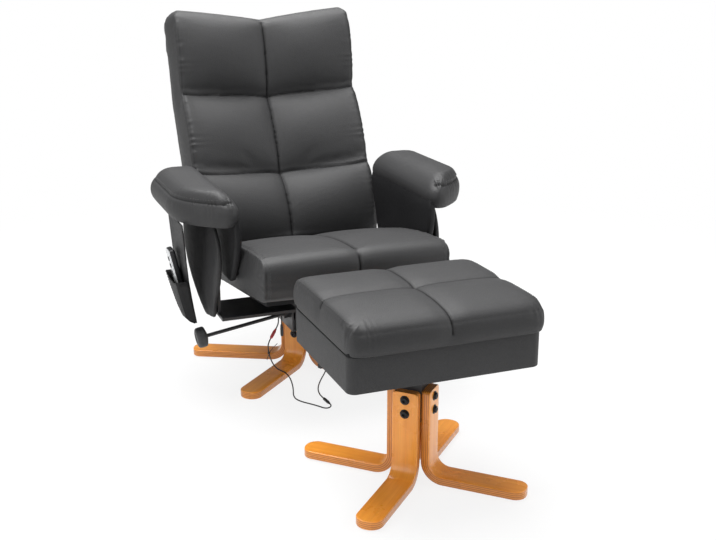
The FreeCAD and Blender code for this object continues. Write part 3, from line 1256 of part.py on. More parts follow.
TAIL_ROUTE = [
    inline_end, vec(-50, -297, size("inline_radius")), vec(-48.5, -274, 2), vec(-43, -246, 2),
    vec(-33, -220, 2), vec(-21, -197, 2.4), vec(-8, -176, 4), vec(6, -158, 8), vec(17.5, -143, 14),
    clip_mouth + leg_out * PLUG_RUN, clip_mouth,
]
tube("tail_lead", TAIL_ROUTE)
tie_start = tie_point - Z_AXIS * size("tie_long") / 2
tie_end = tie_point + Z_AXIS * size("tie_long") / 2
tie = rod(tie_start, tie_end, size("tie_radius"))
feature("lead_tie", tie.cut(rod(tie_start, tie_end, size("lead_radius") + size("tie_gap"))))


# centre the set on the floor and write it out

doc.recompute()
CORDS = ("black_lead", "black_plug", "red_lead", "red_plug", "power_lead", "inline_plug", "tail_lead",
         "lead_tie")
whole = FreeCAD.BoundBox()
for item in nodes:
    if item.Label not in CORDS:
        whole.add(item.Shape.optimalBoundingBox(False, False))
shift = vec(-whole.Center.x, -whole.Center.y, -whole.ZMin)
print(f"shift {shift.x:.4f} {shift.y:.4f} {shift.z:.4f}")
print(f"size {whole.XLength:.2f} {whole.YLength:.2f} {whole.ZLength:.2f}")
for item in nodes:
    item.Placement = FreeCAD.Placement(shift, FreeCAD.Rotation()).multiply(item.Placement)
doc.recompute()

for item in doc.Objects:
    if "Invalid" in item.State or "Error" in item.State:
        raise RuntimeError(f"{item.Label} failed: {item.State}")
for item in nodes:
    if item.Shape.isNull() or not item.Shape.isValid():
        raise RuntimeError(f"{item.Label} has no valid shape")

os.makedirs("parts", exist_ok=True)
for item in nodes:
    item.Shape.exportStep(os.path.join("parts", f"{item.Label}.step"))
print(len(nodes), "sub-parts written")
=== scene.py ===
"""Massage recliner with footstool: upholstery, bentwood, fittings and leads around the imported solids."""
import logging
import math
from dataclasses import dataclass, field
from enum import Enum
from functools import cache
from typing import Any, Callable, Sequence

import bmesh
import bpy
import numpy as np
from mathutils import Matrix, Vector
from mathutils.bvhtree import BVHTree


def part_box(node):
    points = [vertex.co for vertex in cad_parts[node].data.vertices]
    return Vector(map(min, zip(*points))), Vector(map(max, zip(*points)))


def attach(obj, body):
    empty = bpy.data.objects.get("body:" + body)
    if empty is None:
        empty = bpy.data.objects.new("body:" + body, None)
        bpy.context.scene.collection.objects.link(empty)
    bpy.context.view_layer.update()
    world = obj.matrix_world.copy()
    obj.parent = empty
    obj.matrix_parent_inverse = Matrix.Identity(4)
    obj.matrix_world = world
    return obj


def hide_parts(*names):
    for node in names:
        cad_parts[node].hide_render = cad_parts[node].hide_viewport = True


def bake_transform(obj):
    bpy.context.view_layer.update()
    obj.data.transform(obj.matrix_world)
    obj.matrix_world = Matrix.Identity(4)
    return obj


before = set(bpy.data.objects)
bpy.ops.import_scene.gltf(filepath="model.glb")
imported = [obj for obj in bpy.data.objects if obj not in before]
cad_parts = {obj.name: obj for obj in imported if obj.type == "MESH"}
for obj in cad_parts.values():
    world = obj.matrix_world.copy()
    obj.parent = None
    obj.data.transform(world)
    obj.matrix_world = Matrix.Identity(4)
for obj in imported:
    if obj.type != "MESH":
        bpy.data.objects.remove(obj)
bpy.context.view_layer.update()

LOG = logging.getLogger("recliner")
CHAIR_Y = 281.1449
STOOL_Y = -783.0
MM = 0.001
Points = np.ndarray
Rgb = Place = tuple[float, float, float]
Plan = list[tuple[float, float]]
Line = Sequence[tuple[float, float]]
Obj, Mesh, Material = bpy.types.Object, bpy.types.Mesh, bpy.types.Material
Tree, Node, Socket = bpy.types.NodeTree, bpy.types.Node, bpy.types.NodeSocket
UP, AHEAD = Vector((0, 0, 1)), Vector((0, 1, 0))


def chair(x: float, y: float, z: float) -> Vector:
    """A point given in millimetres from the chair's swivel axis, in the part's frame."""
    return Vector((x * MM, (y + CHAIR_Y) * MM, z * MM))


def chairs(*rows: Place) -> list[Vector]:
    """Several such points."""
    return [chair(*row) for row in rows]


def outward(degrees: float) -> Vector:
    """A level direction."""
    return Vector((math.cos(math.radians(degrees)), math.sin(math.radians(degrees)), 0))


def spaced(low: float, high: float, count: int) -> list[float]:
    """Evenly spaced numbers, ends included."""
    return [float(v) for v in np.linspace(low, high, count)]


def dense(line: Line, step: float, least: int = 1) -> Plan:
    """Points along a line of straight runs.

    Args:
        line: the runs' ends.
        step: greatest distance from point to point.
        least: fewest points on a run.

    Returns:
        The points, without the line's last one.
    """
    found = []
    for a, b in zip(line, line[1:]):
        parts = max(least, int(math.dist(a, b) / step))
        found += [(a[0] + (b[0] - a[0]) * k / parts, a[1] + (b[1] - a[1]) * k / parts) for k in range(parts)]
    return found


# meshes


def new_object(name: str, mesh: Mesh) -> Obj:
    """Link a new object that carries a mesh.

    Args:
        name: the piece's name.
        mesh: its mesh.

    Returns:
        The linked object.
    """
    made = bpy.data.objects.new(name, mesh)
    bpy.context.scene.collection.objects.link(made)
    return made


def mesh_object(name: str, points: Sequence, faces: Sequence, smooth: bool = True) -> Obj:
    """Make an object from points and faces.

    Args:
        name: the piece's name.
        points: corners, in metres in the part's frame.
        faces: corner numbers of each face.
        smooth: whether the faces are shaded smoothly.

    Returns:
        The linked object, with its faces pointing outwards.
    """
    mesh = bpy.data.meshes.new(name)
    mesh.from_pydata([tuple(p) for p in points], [], [tuple(f) for f in faces])
    work = bmesh.new()
    work.from_mesh(mesh)
    bmesh.ops.recalc_face_normals(work, faces=work.faces)
    work.to_mesh(mesh)
    work.free()
    mesh.polygons.foreach_set("use_smooth", [smooth] * len(mesh.polygons))
    mesh.update()
    return new_object(name, mesh)


def coords(mesh: Mesh) -> Points:
    """Corner places of a mesh as an array.

    Args:
        mesh: the mesh.

    Returns:
        One row for each corner.
    """
    flat = np.empty(len(mesh.vertices) * 3, np.float32)
    mesh.vertices.foreach_get("co", flat)
    return flat.reshape(-1, 3).astype(float)


def normals(mesh: Mesh) -> Points:
    """Corner normals of a mesh as an array.

    Args:
        mesh: the mesh.

    Returns:
        One row for each corner.
    """
    flat = np.empty(len(mesh.vertices) * 3, np.float32)
    mesh.vertex_normals.foreach_get("vector", flat)
    return flat.reshape(-1, 3).astype(float)


def set_coords(mesh: Mesh, places: Points) -> None:
    """Move a mesh's corners."""
    mesh.vertices.foreach_set("co", places.astype(np.float32).ravel())
    mesh.update()


def smooth_all(made: Obj) -> None:
    """Shade every face smoothly."""
    made.data.polygons.foreach_set("use_smooth", [True] * len(made.data.polygons))


def modify(made: Obj, kind: str, **settings: Any) -> bpy.types.Modifier:
    """Add a modifier with its settings.

    Args:
        made: the object.
        kind: the modifier's type name.
        settings: attributes of the modifier.

    Returns:
        The new modifier.
    """
    modifier = made.modifiers.new(kind.lower(), kind)
    for key, value in settings.items():
        setattr(modifier, key, value)
    return modifier


def merged_copy(name: str, node: str, flatten: bool = False) -> Obj:
    """A copy of a solid with its corners joined.

    Args:
        name: the piece's name.
        node: the solid.
        flatten: whether flat faces become single faces.

    Returns:
        The copy, without materials.
    """
    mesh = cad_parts[node].data.copy()
    work = bmesh.new()
    work.from_mesh(mesh)
    bmesh.ops.remove_doubles(work, verts=work.verts, dist=1e-5)
    if flatten:
        bmesh.ops.dissolve_limit(work, angle_limit=math.radians(1.0), verts=work.verts, edges=work.edges)
    work.to_mesh(mesh)
    work.free()
    mesh.materials.clear()
    return new_object(name, mesh)


def settle(made: Obj) -> None:
    """Turn an object's modifiers into plain mesh.

    Args:
        made: the object.
    """
    depsgraph = bpy.context.evaluated_depsgraph_get()
    baked = bpy.data.meshes.new_from_object(made.evaluated_get(depsgraph))
    made.modifiers.clear()
    made.data = baked


def rings(name: str, sections: Sequence[Points], smooth: bool = True) -> Obj:
    """Skin a row of equal rings and close both ends.

    Args:
        name: the piece's name.
        sections: arrays of corner places, one for each ring.
        smooth: whether the faces are shaded smoothly.

    Returns:
        The closed piece.
    """
    count = len(sections[0])
    points = np.concatenate(sections)
    faces: list[tuple[int, ...]] = []
    for row in range(len(sections) - 1):
        low, high = row * count, (row + 1) * count
        for k in range(count):
            nxt = (k + 1) % count
            faces.append((low + k, low + nxt, high + nxt, high + k))
    faces.append(tuple(range(count - 1, -1, -1)))
    faces.append(tuple(range(len(points) - count, len(points))))
    return mesh_object(name, points, faces, smooth)


def lathe(name: str, profile: Line, start: Vector, way: Vector, sides: int = 40) -> Obj:
    """Turn a profile about an axis.

    Args:
        name: the piece's name.
        profile: pairs of distance along the axis and radius, in millimetres.
        start: the axis's first point.
        way: the axis's direction.
        sides: corners round the axis.

    Returns:
        The turned piece, closed at both ends.
    """
    turn = UP.rotation_difference(way.normalized()).to_matrix()
    angles = np.linspace(0, 2 * math.pi, sides, endpoint=False)
    sections = []
    for along, radius in profile:
        ring = [Vector((radius * math.cos(a), radius * math.sin(a), along)) for a in angles]
        sections.append(np.array([start + turn @ spot * MM for spot in ring]))
    return rings(name, sections)


def sharpen(made: Obj, degrees: float = 35.0) -> None:
    """Keep edges that turn by more than an angle crisp."""
    made.data.set_sharp_from_angle(angle=math.radians(degrees))


# finishes


class NodeBench:
    """Places and joins the nodes of one tree."""

    def __init__(self, tree: Tree) -> None:
        """Start with an existing tree."""
        self.tree = tree

    def put(self, kind: str, inputs: dict[Any, Any] | None = None, **settings: Any) -> Node:
        """Add a node.

        Args:
            kind: the node's type name.
            inputs: values or sockets, by input name or number.
            settings: attributes of the node.

        Returns:
            The new node.
        """
        node = self.tree.nodes.new(kind)
        for key, value in settings.items():
            setattr(node, key, value)
        for key, value in (inputs or {}).items():
            self.feed(node.inputs[key], value)
        return node

    def feed(self, socket: Socket, value: Any) -> None:
        """Give an input a fixed value, or join it to an output.

        Args:
            socket: the input.
            value: a value, or an output's socket.
        """
        if isinstance(value, Socket):
            self.tree.links.new(value, socket)
        else:
            socket.default_value = value

    def math(self, operation: str, *values: Any) -> Socket:
        """One sum on numbers."""
        return self.put("ShaderNodeMath", dict(enumerate(values)), operation=operation).outputs[0]

    def mix(self, share: Any, first: Any, second: Any, blend: str = "MIX") -> Socket:
        """Mix two colours by a share.

        Args:
            share: share of the second colour.
            first: first colour.
            second: second colour.
            blend: the way of mixing.

        Returns:
            The mixed colour.
        """
        node = self.put("ShaderNodeMix", data_type="RGBA", blend_type=blend)
        for index, value in ((0, share), (6, first), (7, second)):
            self.feed(node.inputs[index], value)
        return node.outputs[2]

    def spread(self, value: Any, low: float, high: float, to_low: float, to_high: float) -> Socket:
        """Carry a value from one range to another."""
        node = self.put("ShaderNodeMapRange", {0: value, 1: low, 2: high, 3: to_low, 4: to_high})
        return node.outputs[0]


def shader_group(name: str, inputs: dict[str, tuple[str, float]],
                 outputs: dict[str, str]) -> tuple[Tree, NodeBench, Node, Node]:
    """Start a shader node group with named sockets.

    Args:
        name: the group's name.
        inputs: socket type and default of each input.
        outputs: socket type of each output.

    Returns:
        The tree, its bench, and its input and output nodes.
    """
    tree = bpy.data.node_groups.new(name, "ShaderNodeTree")
    for label, (kind, value) in inputs.items():
        socket = tree.interface.new_socket(label, in_out="INPUT", socket_type=kind)
        if kind == "NodeSocketFloat":
            socket.default_value = value
    for label, kind in outputs.items():
        tree.interface.new_socket(label, in_out="OUTPUT", socket_type=kind)
    bench = NodeBench(tree)
    return tree, bench, bench.put("NodeGroupInput"), bench.put("NodeGroupOutput")


@cache
def pebble_group() -> Tree:
    """Fine pebbles of an embossed or moulded skin, with a slower swell under them.

    Returns:
        The group, built once.
    """
    tree, bench, source, sink = shader_group(
        "pebbled_skin", {"Place": ("NodeSocketVector", 0), "Scale": ("NodeSocketFloat", 400.0)},
        {"Height": "NodeSocketFloat", "Valley": "NodeSocketFloat"})
    place, scale = source.outputs["Place"], source.outputs["Scale"]
    cells = bench.put("ShaderNodeTexVoronoi", {"Vector": place, "Scale": scale, "Randomness": 1.0})
    broad = bench.put("ShaderNodeTexNoise", {"Vector": place, "Scale": bench.math("MULTIPLY", scale, 0.12),
                                             "Detail": 3.0})
    lump = bench.math("SUBTRACT", 1.0, cells.outputs["Distance"])
    bench.feed(sink.inputs["Height"], bench.math("MULTIPLY_ADD", broad.outputs[0], 0.9, lump))
    bench.feed(sink.inputs["Valley"], cells.outputs["Distance"])
    return tree


@cache
def drift_group() -> Tree:
    """Slow drift of tone over a surface, for colour and polish.

    Returns:
        The group, built once.
    """
    tree, bench, source, sink = shader_group(
        "tone_drift", {"Place": ("NodeSocketVector", 0), "Scale": ("NodeSocketFloat", 6.0)},
        {"Tone": "NodeSocketFloat", "Fleck": "NodeSocketFloat"})
    place, scale = source.outputs["Place"], source.outputs["Scale"]
    slow = bench.put("ShaderNodeTexNoise", {"Vector": place, "Scale": scale, "Detail": 4.0,
                                            "Roughness": 0.55})
    quick = bench.put("ShaderNodeTexNoise", {"Vector": place, "Scale": bench.math("MULTIPLY", scale, 22.0),
                                             "Detail": 2.0})
    bench.feed(sink.inputs["Tone"], bench.spread(slow.outputs[0], 0.3, 0.7, 0.0, 1.0))
    bench.feed(sink.inputs["Fleck"], bench.spread(quick.outputs[0], 0.35, 0.65, 0.0, 1.0))
    return tree


def bare_bench(owner: Material | bpy.types.World) -> NodeBench:
    """A bench on the emptied tree of a material or a world.

    Args:
        owner: the material or world.

    Returns:
        The bench.
    """
    owner.use_nodes = True
    owner.node_tree.nodes.clear()
    return NodeBench(owner.node_tree)


def start_material(name: str) -> tuple[Material, NodeBench, Node]:
    """A material with only its shader and output.

    Args:
        name: the material's name.

    Returns:
        The material, its bench and its Principled shader.
    """
    material = bpy.data.materials.new(name)
    bench = bare_bench(material)
    shader = bench.put("ShaderNodeBsdfPrincipled")
    bench.put("ShaderNodeOutputMaterial", {"Surface": shader.outputs[0]})
    return material, bench, shader


@dataclass(frozen=True)
class SkinFinish:
    """A skin with pebbles, drifting tone and painted shade along seam creases: leather cloth, moulded
    plastic, paint or felt.
    """

    name: str
    light: Rgb
    dark: Rgb
    roughness: tuple[float, float]
    pebble_scale: float
    pebble_height: float
    drift_scale: float = 6.0
    metallic: float = 0.0
    specular: float = 0.5
    sheen: float = 0.0

    def material(self) -> Material:
        """Build the finish.

        Returns:
            The material.
        """
        material, bench, shader = start_material(self.name)
        place = bench.put("ShaderNodeTexCoord").outputs["Object"]
        pebble = bench.put("ShaderNodeGroup", node_tree=pebble_group())
        drift = bench.put("ShaderNodeGroup", node_tree=drift_group())
        for node, scale in ((pebble, self.pebble_scale), (drift, self.drift_scale)):
            bench.feed(node.inputs["Place"], place)
            bench.feed(node.inputs["Scale"], scale)
        tone = bench.mix(drift.outputs["Tone"], (*self.dark, 1), (*self.light, 1))
        # Painted shade: the colour falls to a quarter along the seams' creases, and is a little darker in the
        # pebbles' valleys.
        painted_crease_shade = bench.put("ShaderNodeAttribute", attribute_name="painted_crease_shade").outputs["Fac"]
        shade = bench.math("MULTIPLY", bench.spread(pebble.outputs["Valley"], 0.0, 0.8, 1.0, 0.8),
                           bench.spread(painted_crease_shade, 0.0, 1.0, 1.0, 0.25))
        bench.feed(shader.inputs["Base Color"], bench.mix(1.0, tone, shade, "MULTIPLY"))
        polish = bench.math("ADD", bench.math("MULTIPLY", drift.outputs["Fleck"], 0.4),
                            bench.math("MULTIPLY", drift.outputs["Tone"], 0.6))
        bench.feed(shader.inputs["Roughness"], bench.spread(polish, 0.0, 1.0, *self.roughness))
        bump = bench.put("ShaderNodeBump", {"Strength": 0.6, "Distance": self.pebble_height,
                                            "Height": pebble.outputs["Height"]})
        bench.feed(shader.inputs["Normal"], bump.outputs[0])
        shader.inputs["Metallic"].default_value = self.metallic
        # Painted shade: the seams' creases also lose most of their reflection.
        bench.feed(shader.inputs["Specular IOR Level"], bench.spread(painted_crease_shade, 0.0, 1.0, self.specular, 0.05))
        shader.inputs["Sheen Weight"].default_value = self.sheen
        return material


@dataclass(frozen=True)
class BentwoodFinish:
    """Lacquered bent plywood: long figure on the faces, glued plies on the edges."""

    name: str = "bentwood"
    light: Rgb = (0.95, 0.39, 0.058)
    dark: Rgb = (0.82, 0.28, 0.030)
    edge_light: Rgb = (0.80, 0.31, 0.050)
    edge_dark: Rgb = (0.50, 0.155, 0.020)
    plies: float = 9.0

    def material(self) -> Material:
        """Build the finish on the leg's own UV map and ply attribute.

        Returns:
            The material.
        """
        material, bench, shader = start_material(self.name)
        run = bench.put("ShaderNodeUVMap", uv_map="run").outputs[0]
        stretch = bench.put("ShaderNodeMapping", {"Vector": run, "Scale": (3.0, 60.0, 1.0)}).outputs[0]
        figure = bench.put("ShaderNodeTexNoise", {"Vector": stretch, "Scale": 1.0, "Detail": 4.0,
                                                  "Roughness": 0.55, "Distortion": 0.4})
        pore_place = bench.put("ShaderNodeMapping", {"Vector": run, "Scale": (14.0, 420.0, 1.0)}).outputs[0]
        pores = bench.put("ShaderNodeTexNoise", {"Vector": pore_place, "Scale": 1.0, "Detail": 2.0})
        drift = bench.put("ShaderNodeGroup", node_tree=drift_group())
        bench.feed(drift.inputs["Place"], bench.put("ShaderNodeTexCoord").outputs["Object"])
        bench.feed(drift.inputs["Scale"], 9.0)
        shade = bench.math("MULTIPLY_ADD", figure.outputs[0], 0.75,
                           bench.math("MULTIPLY", drift.outputs["Tone"], 0.25))
        face = bench.mix(bench.spread(shade, 0.32, 0.68, 0.0, 1.0), (*self.dark, 1), (*self.light, 1))
        ply = bench.put("ShaderNodeAttribute", attribute_name="ply").outputs["Fac"]
        wave = bench.math("SINE", bench.math("MULTIPLY", ply, self.plies * math.pi))
        layer = bench.spread(wave, -0.6, 0.6, 0.0, 1.0)
        edge_tone = bench.mix(layer, (*self.edge_dark, 1), (*self.edge_light, 1))
        edge = bench.put("ShaderNodeAttribute", attribute_name="edge").outputs["Fac"]
        body = bench.mix(edge, face, edge_tone)
        streak = bench.spread(pores.outputs[0], 0.35, 0.6, 0.93, 1.0)
        bench.feed(shader.inputs["Base Color"], bench.mix(1.0, body, streak, "MULTIPLY"))
        bench.feed(shader.inputs["Roughness"], bench.spread(drift.outputs["Tone"], 0.0, 1.0, 0.24, 0.34))
        bump = bench.put("ShaderNodeBump", {"Strength": 0.15, "Distance": 0.0002, "Height": pores.outputs[0]})
        bench.feed(shader.inputs["Normal"], bump.outputs[0])
        shader.inputs["Coat Weight"].default_value = 0.35
        shader.inputs["Coat Roughness"].default_value = 0.12
        return material


@dataclass(frozen=True)
class TwoShellFinish:
    """A moulded case of a pale outer shell and a dark inner one, parted on a plane."""

    name: str
    outer: Rgb
    inner: Rgb
    normal: Place
    offset: float

    def material(self) -> Material:
        """Build the finish.

        Returns:
            The material.
        """
        material, bench, shader = start_material(self.name)
        place = bench.put("ShaderNodeTexCoord").outputs["Object"]
        height = bench.put("ShaderNodeVectorMath", {0: place, 1: self.normal}, operation="DOT_PRODUCT")
        part = bench.spread(height.outputs["Value"], self.offset - 0.0002, self.offset + 0.0002, 0.0, 1.0)
        pebble = bench.put("ShaderNodeGroup", node_tree=pebble_group())
        bench.feed(pebble.inputs["Place"], place)
        bench.feed(pebble.inputs["Scale"], 1400.0)
        bench.feed(shader.inputs["Base Color"], bench.mix(part, (*self.inner, 1), (*self.outer, 1)))
        bench.feed(shader.inputs["Roughness"], bench.spread(pebble.outputs["Valley"], 0.0, 1.0, 0.30, 0.42))
        bump = bench.put("ShaderNodeBump", {"Strength": 0.3, "Distance": 0.0002,
                                            "Height": pebble.outputs["Height"]})
        bench.feed(shader.inputs["Normal"], bump.outputs[0])
        return material


def grey(level: float, blue: float = 0.001) -> Rgb:
    """A grey that is a little cool."""
    return level, level, level + blue


class Finish(Enum):
    """The finishes of the object."""

    LEATHER = SkinFinish("faux_leather", grey(0.041), grey(0.034), (0.50, 0.58), 520.0, 0.0005, 5.0,
                         specular=0.3)
    # Painted shade: a darker copy of the leather for the arms' inner boards, which stand in deep shade
    # between pad and seat.
    PAINTED_SHADE_LEATHER = SkinFinish("painted_shade_leather", grey(0.018), grey(0.013), (0.52, 0.62), 520.0, 0.0005, 5.0,
                              specular=0.2)
    POCKET = SkinFinish("pocket_cloth", grey(0.015), grey(0.010), (0.5, 0.62), 600.0, 0.0005, specular=0.25)
    CAMBRIC = SkinFinish("board_cover", grey(0.020), grey(0.013), (0.75, 0.9), 900.0, 0.0004, specular=0.2)
    STEEL = SkinFinish("black_steel", grey(0.022, 0.002), grey(0.015), (0.32, 0.46), 1200.0, 0.00015, 18.0)
    BOLT = SkinFinish("bolt_steel", grey(0.030, 0.003), grey(0.018, 0.002), (0.30, 0.42), 1500.0, 0.0001,
                      60.0, metallic=0.6)
    PLASTIC = SkinFinish("black_plastic", grey(0.040, 0.002), grey(0.028, 0.002), (0.42, 0.55), 1100.0,
                         0.0003, 20.0)
    JACKET = SkinFinish("lead_jacket", grey(0.020, 0.002), grey(0.012), (0.38, 0.5), 1800.0, 0.0001, 40.0)
    RED = SkinFinish("red_plastic", (0.50, 0.022, 0.026), (0.34, 0.012, 0.016), (0.35, 0.45), 1300.0, 0.0002,
                     40.0)
    FELT = SkinFinish("felt", (0.14, 0.11, 0.085), (0.09, 0.07, 0.055), (0.85, 0.98), 900.0, 0.0006,
                      specular=0.1, sheen=0.3)
    RUBBER = SkinFinish("key_rubber", grey(0.075, 0.005), grey(0.055, 0.005), (0.55, 0.65), 1500.0, 0.0002,
                        60.0)
    THREAD = SkinFinish("thread", grey(0.040), grey(0.025), (0.6, 0.7), 2500.0, 0.0002, 80.0, sheen=0.2)
    BENTWOOD = BentwoodFinish()


@cache
def material_of(finish: Finish) -> Material:
    """The material of a finish, built on first use."""
    return finish.value.material()


def coat(made: Obj, material: Material) -> None:
    """Give an object one material."""
    made.data.materials.clear()
    made.data.materials.append(material)


def dress(made: Obj, finish: Finish) -> None:
    """Give an object one finish."""
    coat(made, material_of(finish))


def dress_node(node: str, finish: Finish) -> None:
    """Give a carried-over solid its finish."""
    dress(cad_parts[node], finish)


def place(made: Obj, body: str, finish: Finish | None, slot: str, *nodes: str) -> Obj:
    """Dress a piece, seat it on a body and let it stand for solids.

    Args:
        made: the finished piece.
        body: the body that it moves with.
        finish: its finish, or none where it is dressed already.
        slot: not used.
        nodes: the solids that it stands for.

    Returns:
        The same piece.
    """
    if finish is not None:
        dress(made, finish)
    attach(made, body)
    if nodes:
        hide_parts(*nodes)
    LOG.info("%s on %s", made.name, body)
    return made


# repeats made by geometry nodes


def geometry_tree(name: str, inputs: dict[str, str]) -> tuple[Tree, NodeBench, Node, Node, dict[str, str]]:
    """Start a geometry tree with named inputs.

    Args:
        name: the tree's name.
        inputs: socket type of each input.

    Returns:
        The tree, its bench, its input and output nodes, and each input's identifier.
    """
    tree = bpy.data.node_groups.new(name, "GeometryNodeTree")
    tree.interface.new_socket("Geometry", in_out="INPUT", socket_type="NodeSocketGeometry")
    keys = {label: tree.interface.new_socket(label, in_out="INPUT", socket_type=kind).identifier
            for label, kind in inputs.items()}
    tree.interface.new_socket("Geometry", in_out="OUTPUT", socket_type="NodeSocketGeometry")
    bench = NodeBench(tree)
    return tree, bench, bench.put("NodeGroupInput"), bench.put("NodeGroupOutput"), keys


def finish_tree(bench: NodeBench, source: Node, sink: Node, copies: Node) -> None:
    """End a tree with real geometry in one material.

    Args:
        bench: the tree's bench.
        source: its input node.
        sink: its output node.
        copies: the node that gives the instances.
    """
    real = bench.put("GeometryNodeRealizeInstances", {0: copies.outputs[0]})
    painted = bench.put("GeometryNodeSetMaterial", {"Geometry": real.outputs[0],
                                                    "Material": source.outputs["Material"]})
    bench.feed(sink.inputs[0], painted.outputs[0])


def grown(base: Obj, tree: Tree, keys: dict[str, str], values: dict[str, Any]) -> Obj:
    """Run a geometry tree on a base object and keep its result as plain mesh.

    Args:
        base: the object that holds the points or the path.
        tree: the geometry tree.
        keys: identifiers of the tree's inputs.
        values: the inputs' values.

    Returns:
        The base object with the grown mesh.
    """
    modifier = base.modifiers.new("growth", "NODES")
    modifier.node_group = tree
    for label, value in values.items():
        modifier[keys[label]] = value
    settle(base)
    return base


class BoltCopies:
    """Copies of one bolt, each at its own seat and facing its own way."""

    tree: Tree | None = None
    keys: dict[str, str] = {}

    @classmethod
    def build(cls, name: str, seats: Sequence[tuple[Vector, Vector]], bolt: Obj) -> Obj:
        """Place the copies.

        Args:
            name: the piece's name.
            seats: place and outward direction of each bolt.
            bolt: the bolt that is copied, drawn about +Z.

        Returns:
            One mesh of all the bolts.
        """
        if cls.tree is None:
            tree, bench, source, sink, cls.keys = geometry_tree(
                "bolt_copies", {"Bolt": "NodeSocketObject", "Material": "NodeSocketMaterial"})
            piece = bench.put("GeometryNodeObjectInfo", {"Object": source.outputs["Bolt"]})
            facing = bench.put("GeometryNodeInputNamedAttribute", {"Name": "facing"},
                               data_type="FLOAT_VECTOR")
            turn = bench.put("FunctionNodeAlignRotationToVector", {"Vector": facing.outputs[0]}, axis="Z")
            copies = bench.put("GeometryNodeInstanceOnPoints", {
                "Points": source.outputs["Geometry"], "Instance": piece.outputs["Geometry"],
                "Rotation": turn.outputs[0]})
            finish_tree(bench, source, sink, copies)
            cls.tree = tree
        base = mesh_object(name, [seat for seat, _ in seats], [])
        facing_values = base.data.attributes.new("facing", "FLOAT_VECTOR", "POINT")
        for spot, (_, way) in zip(facing_values.data, seats):
            spot.vector = way
        return grown(base, cls.tree, cls.keys, {"Bolt": bolt, "Material": material_of(Finish.BOLT)})


class StitchRow:
    """Thread stitches along a path that lies on a cover."""

    tree: Tree | None = None
    keys: dict[str, str] = {}

    @classmethod
    def build(cls, name: str, paths: Sequence[Points], ways: Sequence[Points], pitch: float = 0.0075,
              length: float = 0.0055, thread: float = 0.0007) -> Obj:
        """Sew the paths.

        Args:
            name: the piece's name.
            paths: points of each path.
            ways: outward direction at each of those points.
            pitch: distance from stitch to stitch.
            length: length of one stitch.
            thread: radius of the thread.

        Returns:
            One mesh of all the stitches.
        """
        if cls.tree is None:
            tree, bench, source, sink, cls.keys = geometry_tree("stitch_row", {
                "Pitch": "NodeSocketFloat", "Length": "NodeSocketFloat", "Thread": "NodeSocketFloat",
                "Material": "NodeSocketMaterial"})
            path = bench.put("GeometryNodeMeshToCurve", {"Mesh": source.outputs["Geometry"]})
            even = bench.put("GeometryNodeResampleCurve", {"Curve": path.outputs[0],
                                                           "Length": source.outputs["Pitch"]}, mode="LENGTH")
            lift = bench.put("GeometryNodeInputNamedAttribute", {"Name": "facing"}, data_type="FLOAT_VECTOR")
            along = bench.put("GeometryNodeInputTangent")
            first = bench.put("FunctionNodeAlignRotationToVector", {"Vector": along.outputs[0]}, axis="X")
            second = bench.put("FunctionNodeAlignRotationToVector",
                               {"Rotation": first.outputs[0], "Vector": lift.outputs[0]}, axis="Z",
                               pivot_axis="X")
            bead = bench.put("GeometryNodeMeshUVSphere", {"Segments": 6, "Rings": 4, "Radius": 1.0})
            half = bench.math("MULTIPLY", source.outputs["Length"], 0.5)
            shape = bench.put("ShaderNodeCombineXYZ", {0: half, 1: source.outputs["Thread"],
                                                       2: source.outputs["Thread"]})
            copies = bench.put("GeometryNodeInstanceOnPoints", {
                "Points": even.outputs[0], "Instance": bead.outputs[0], "Rotation": second.outputs[0],
                "Scale": shape.outputs[0]})
            finish_tree(bench, source, sink, copies)
            cls.tree = tree
        mesh = bpy.data.meshes.new(name)
        edges, start = [], 0
        for path in paths:
            edges += [(start + i, start + i + 1) for i in range(len(path) - 1)]
            start += len(path)
        mesh.from_pydata([tuple(p) for path in paths for p in path], edges, [])
        facing_values = mesh.attributes.new("facing", "FLOAT_VECTOR", "POINT")
        for spot, way in zip(facing_values.data, [w for row in ways for w in row]):
            spot.vector = tuple(way)
        return grown(new_object(name, mesh), cls.tree, cls.keys, {
            "Pitch": pitch, "Length": length, "Thread": thread, "Material": material_of(Finish.THREAD)})


# padded pieces


@dataclass
class Seam:
    """A sewn line on a padded piece."""

    points: Points
    pull: float = 0.0
    pull_wide: float = 0.020
    crease: float = 0.0035
    crease_wide: float = 0.0035
    # Strength of the shade painted into the colour along the seam's crease.
    painted_crease_shade: float = 0.0
    gather: float = 0.0
    gather_reach: float = 0.030
    gather_pitch: float = 0.018
    gather_at: Callable[[Points], Points] | None = None

    def field(self, places: Points) -> tuple[Points, Points]:
        """Distance from the seam and place along it.

        Args:
            places: points to measure.

        Returns:
            The distances, and the lengths along the seam of the nearest points.
        """
        best = np.full(len(places), 1e9)
        along = np.zeros(len(places))
        run = 0.0
        for a, b in zip(self.points, self.points[1:]):
            way = b - a
            size = float(np.linalg.norm(way))
            if size < 1e-9:
                continue
            share = np.clip((places - a) @ way / size ** 2, 0, 1)
            gap = np.linalg.norm(places - (a + share[:, None] * way), axis=1)
            nearer = gap < best
            best[nearer] = gap[nearer]
            along[nearer] = run + share[nearer] * size
            run += size
        return best, along


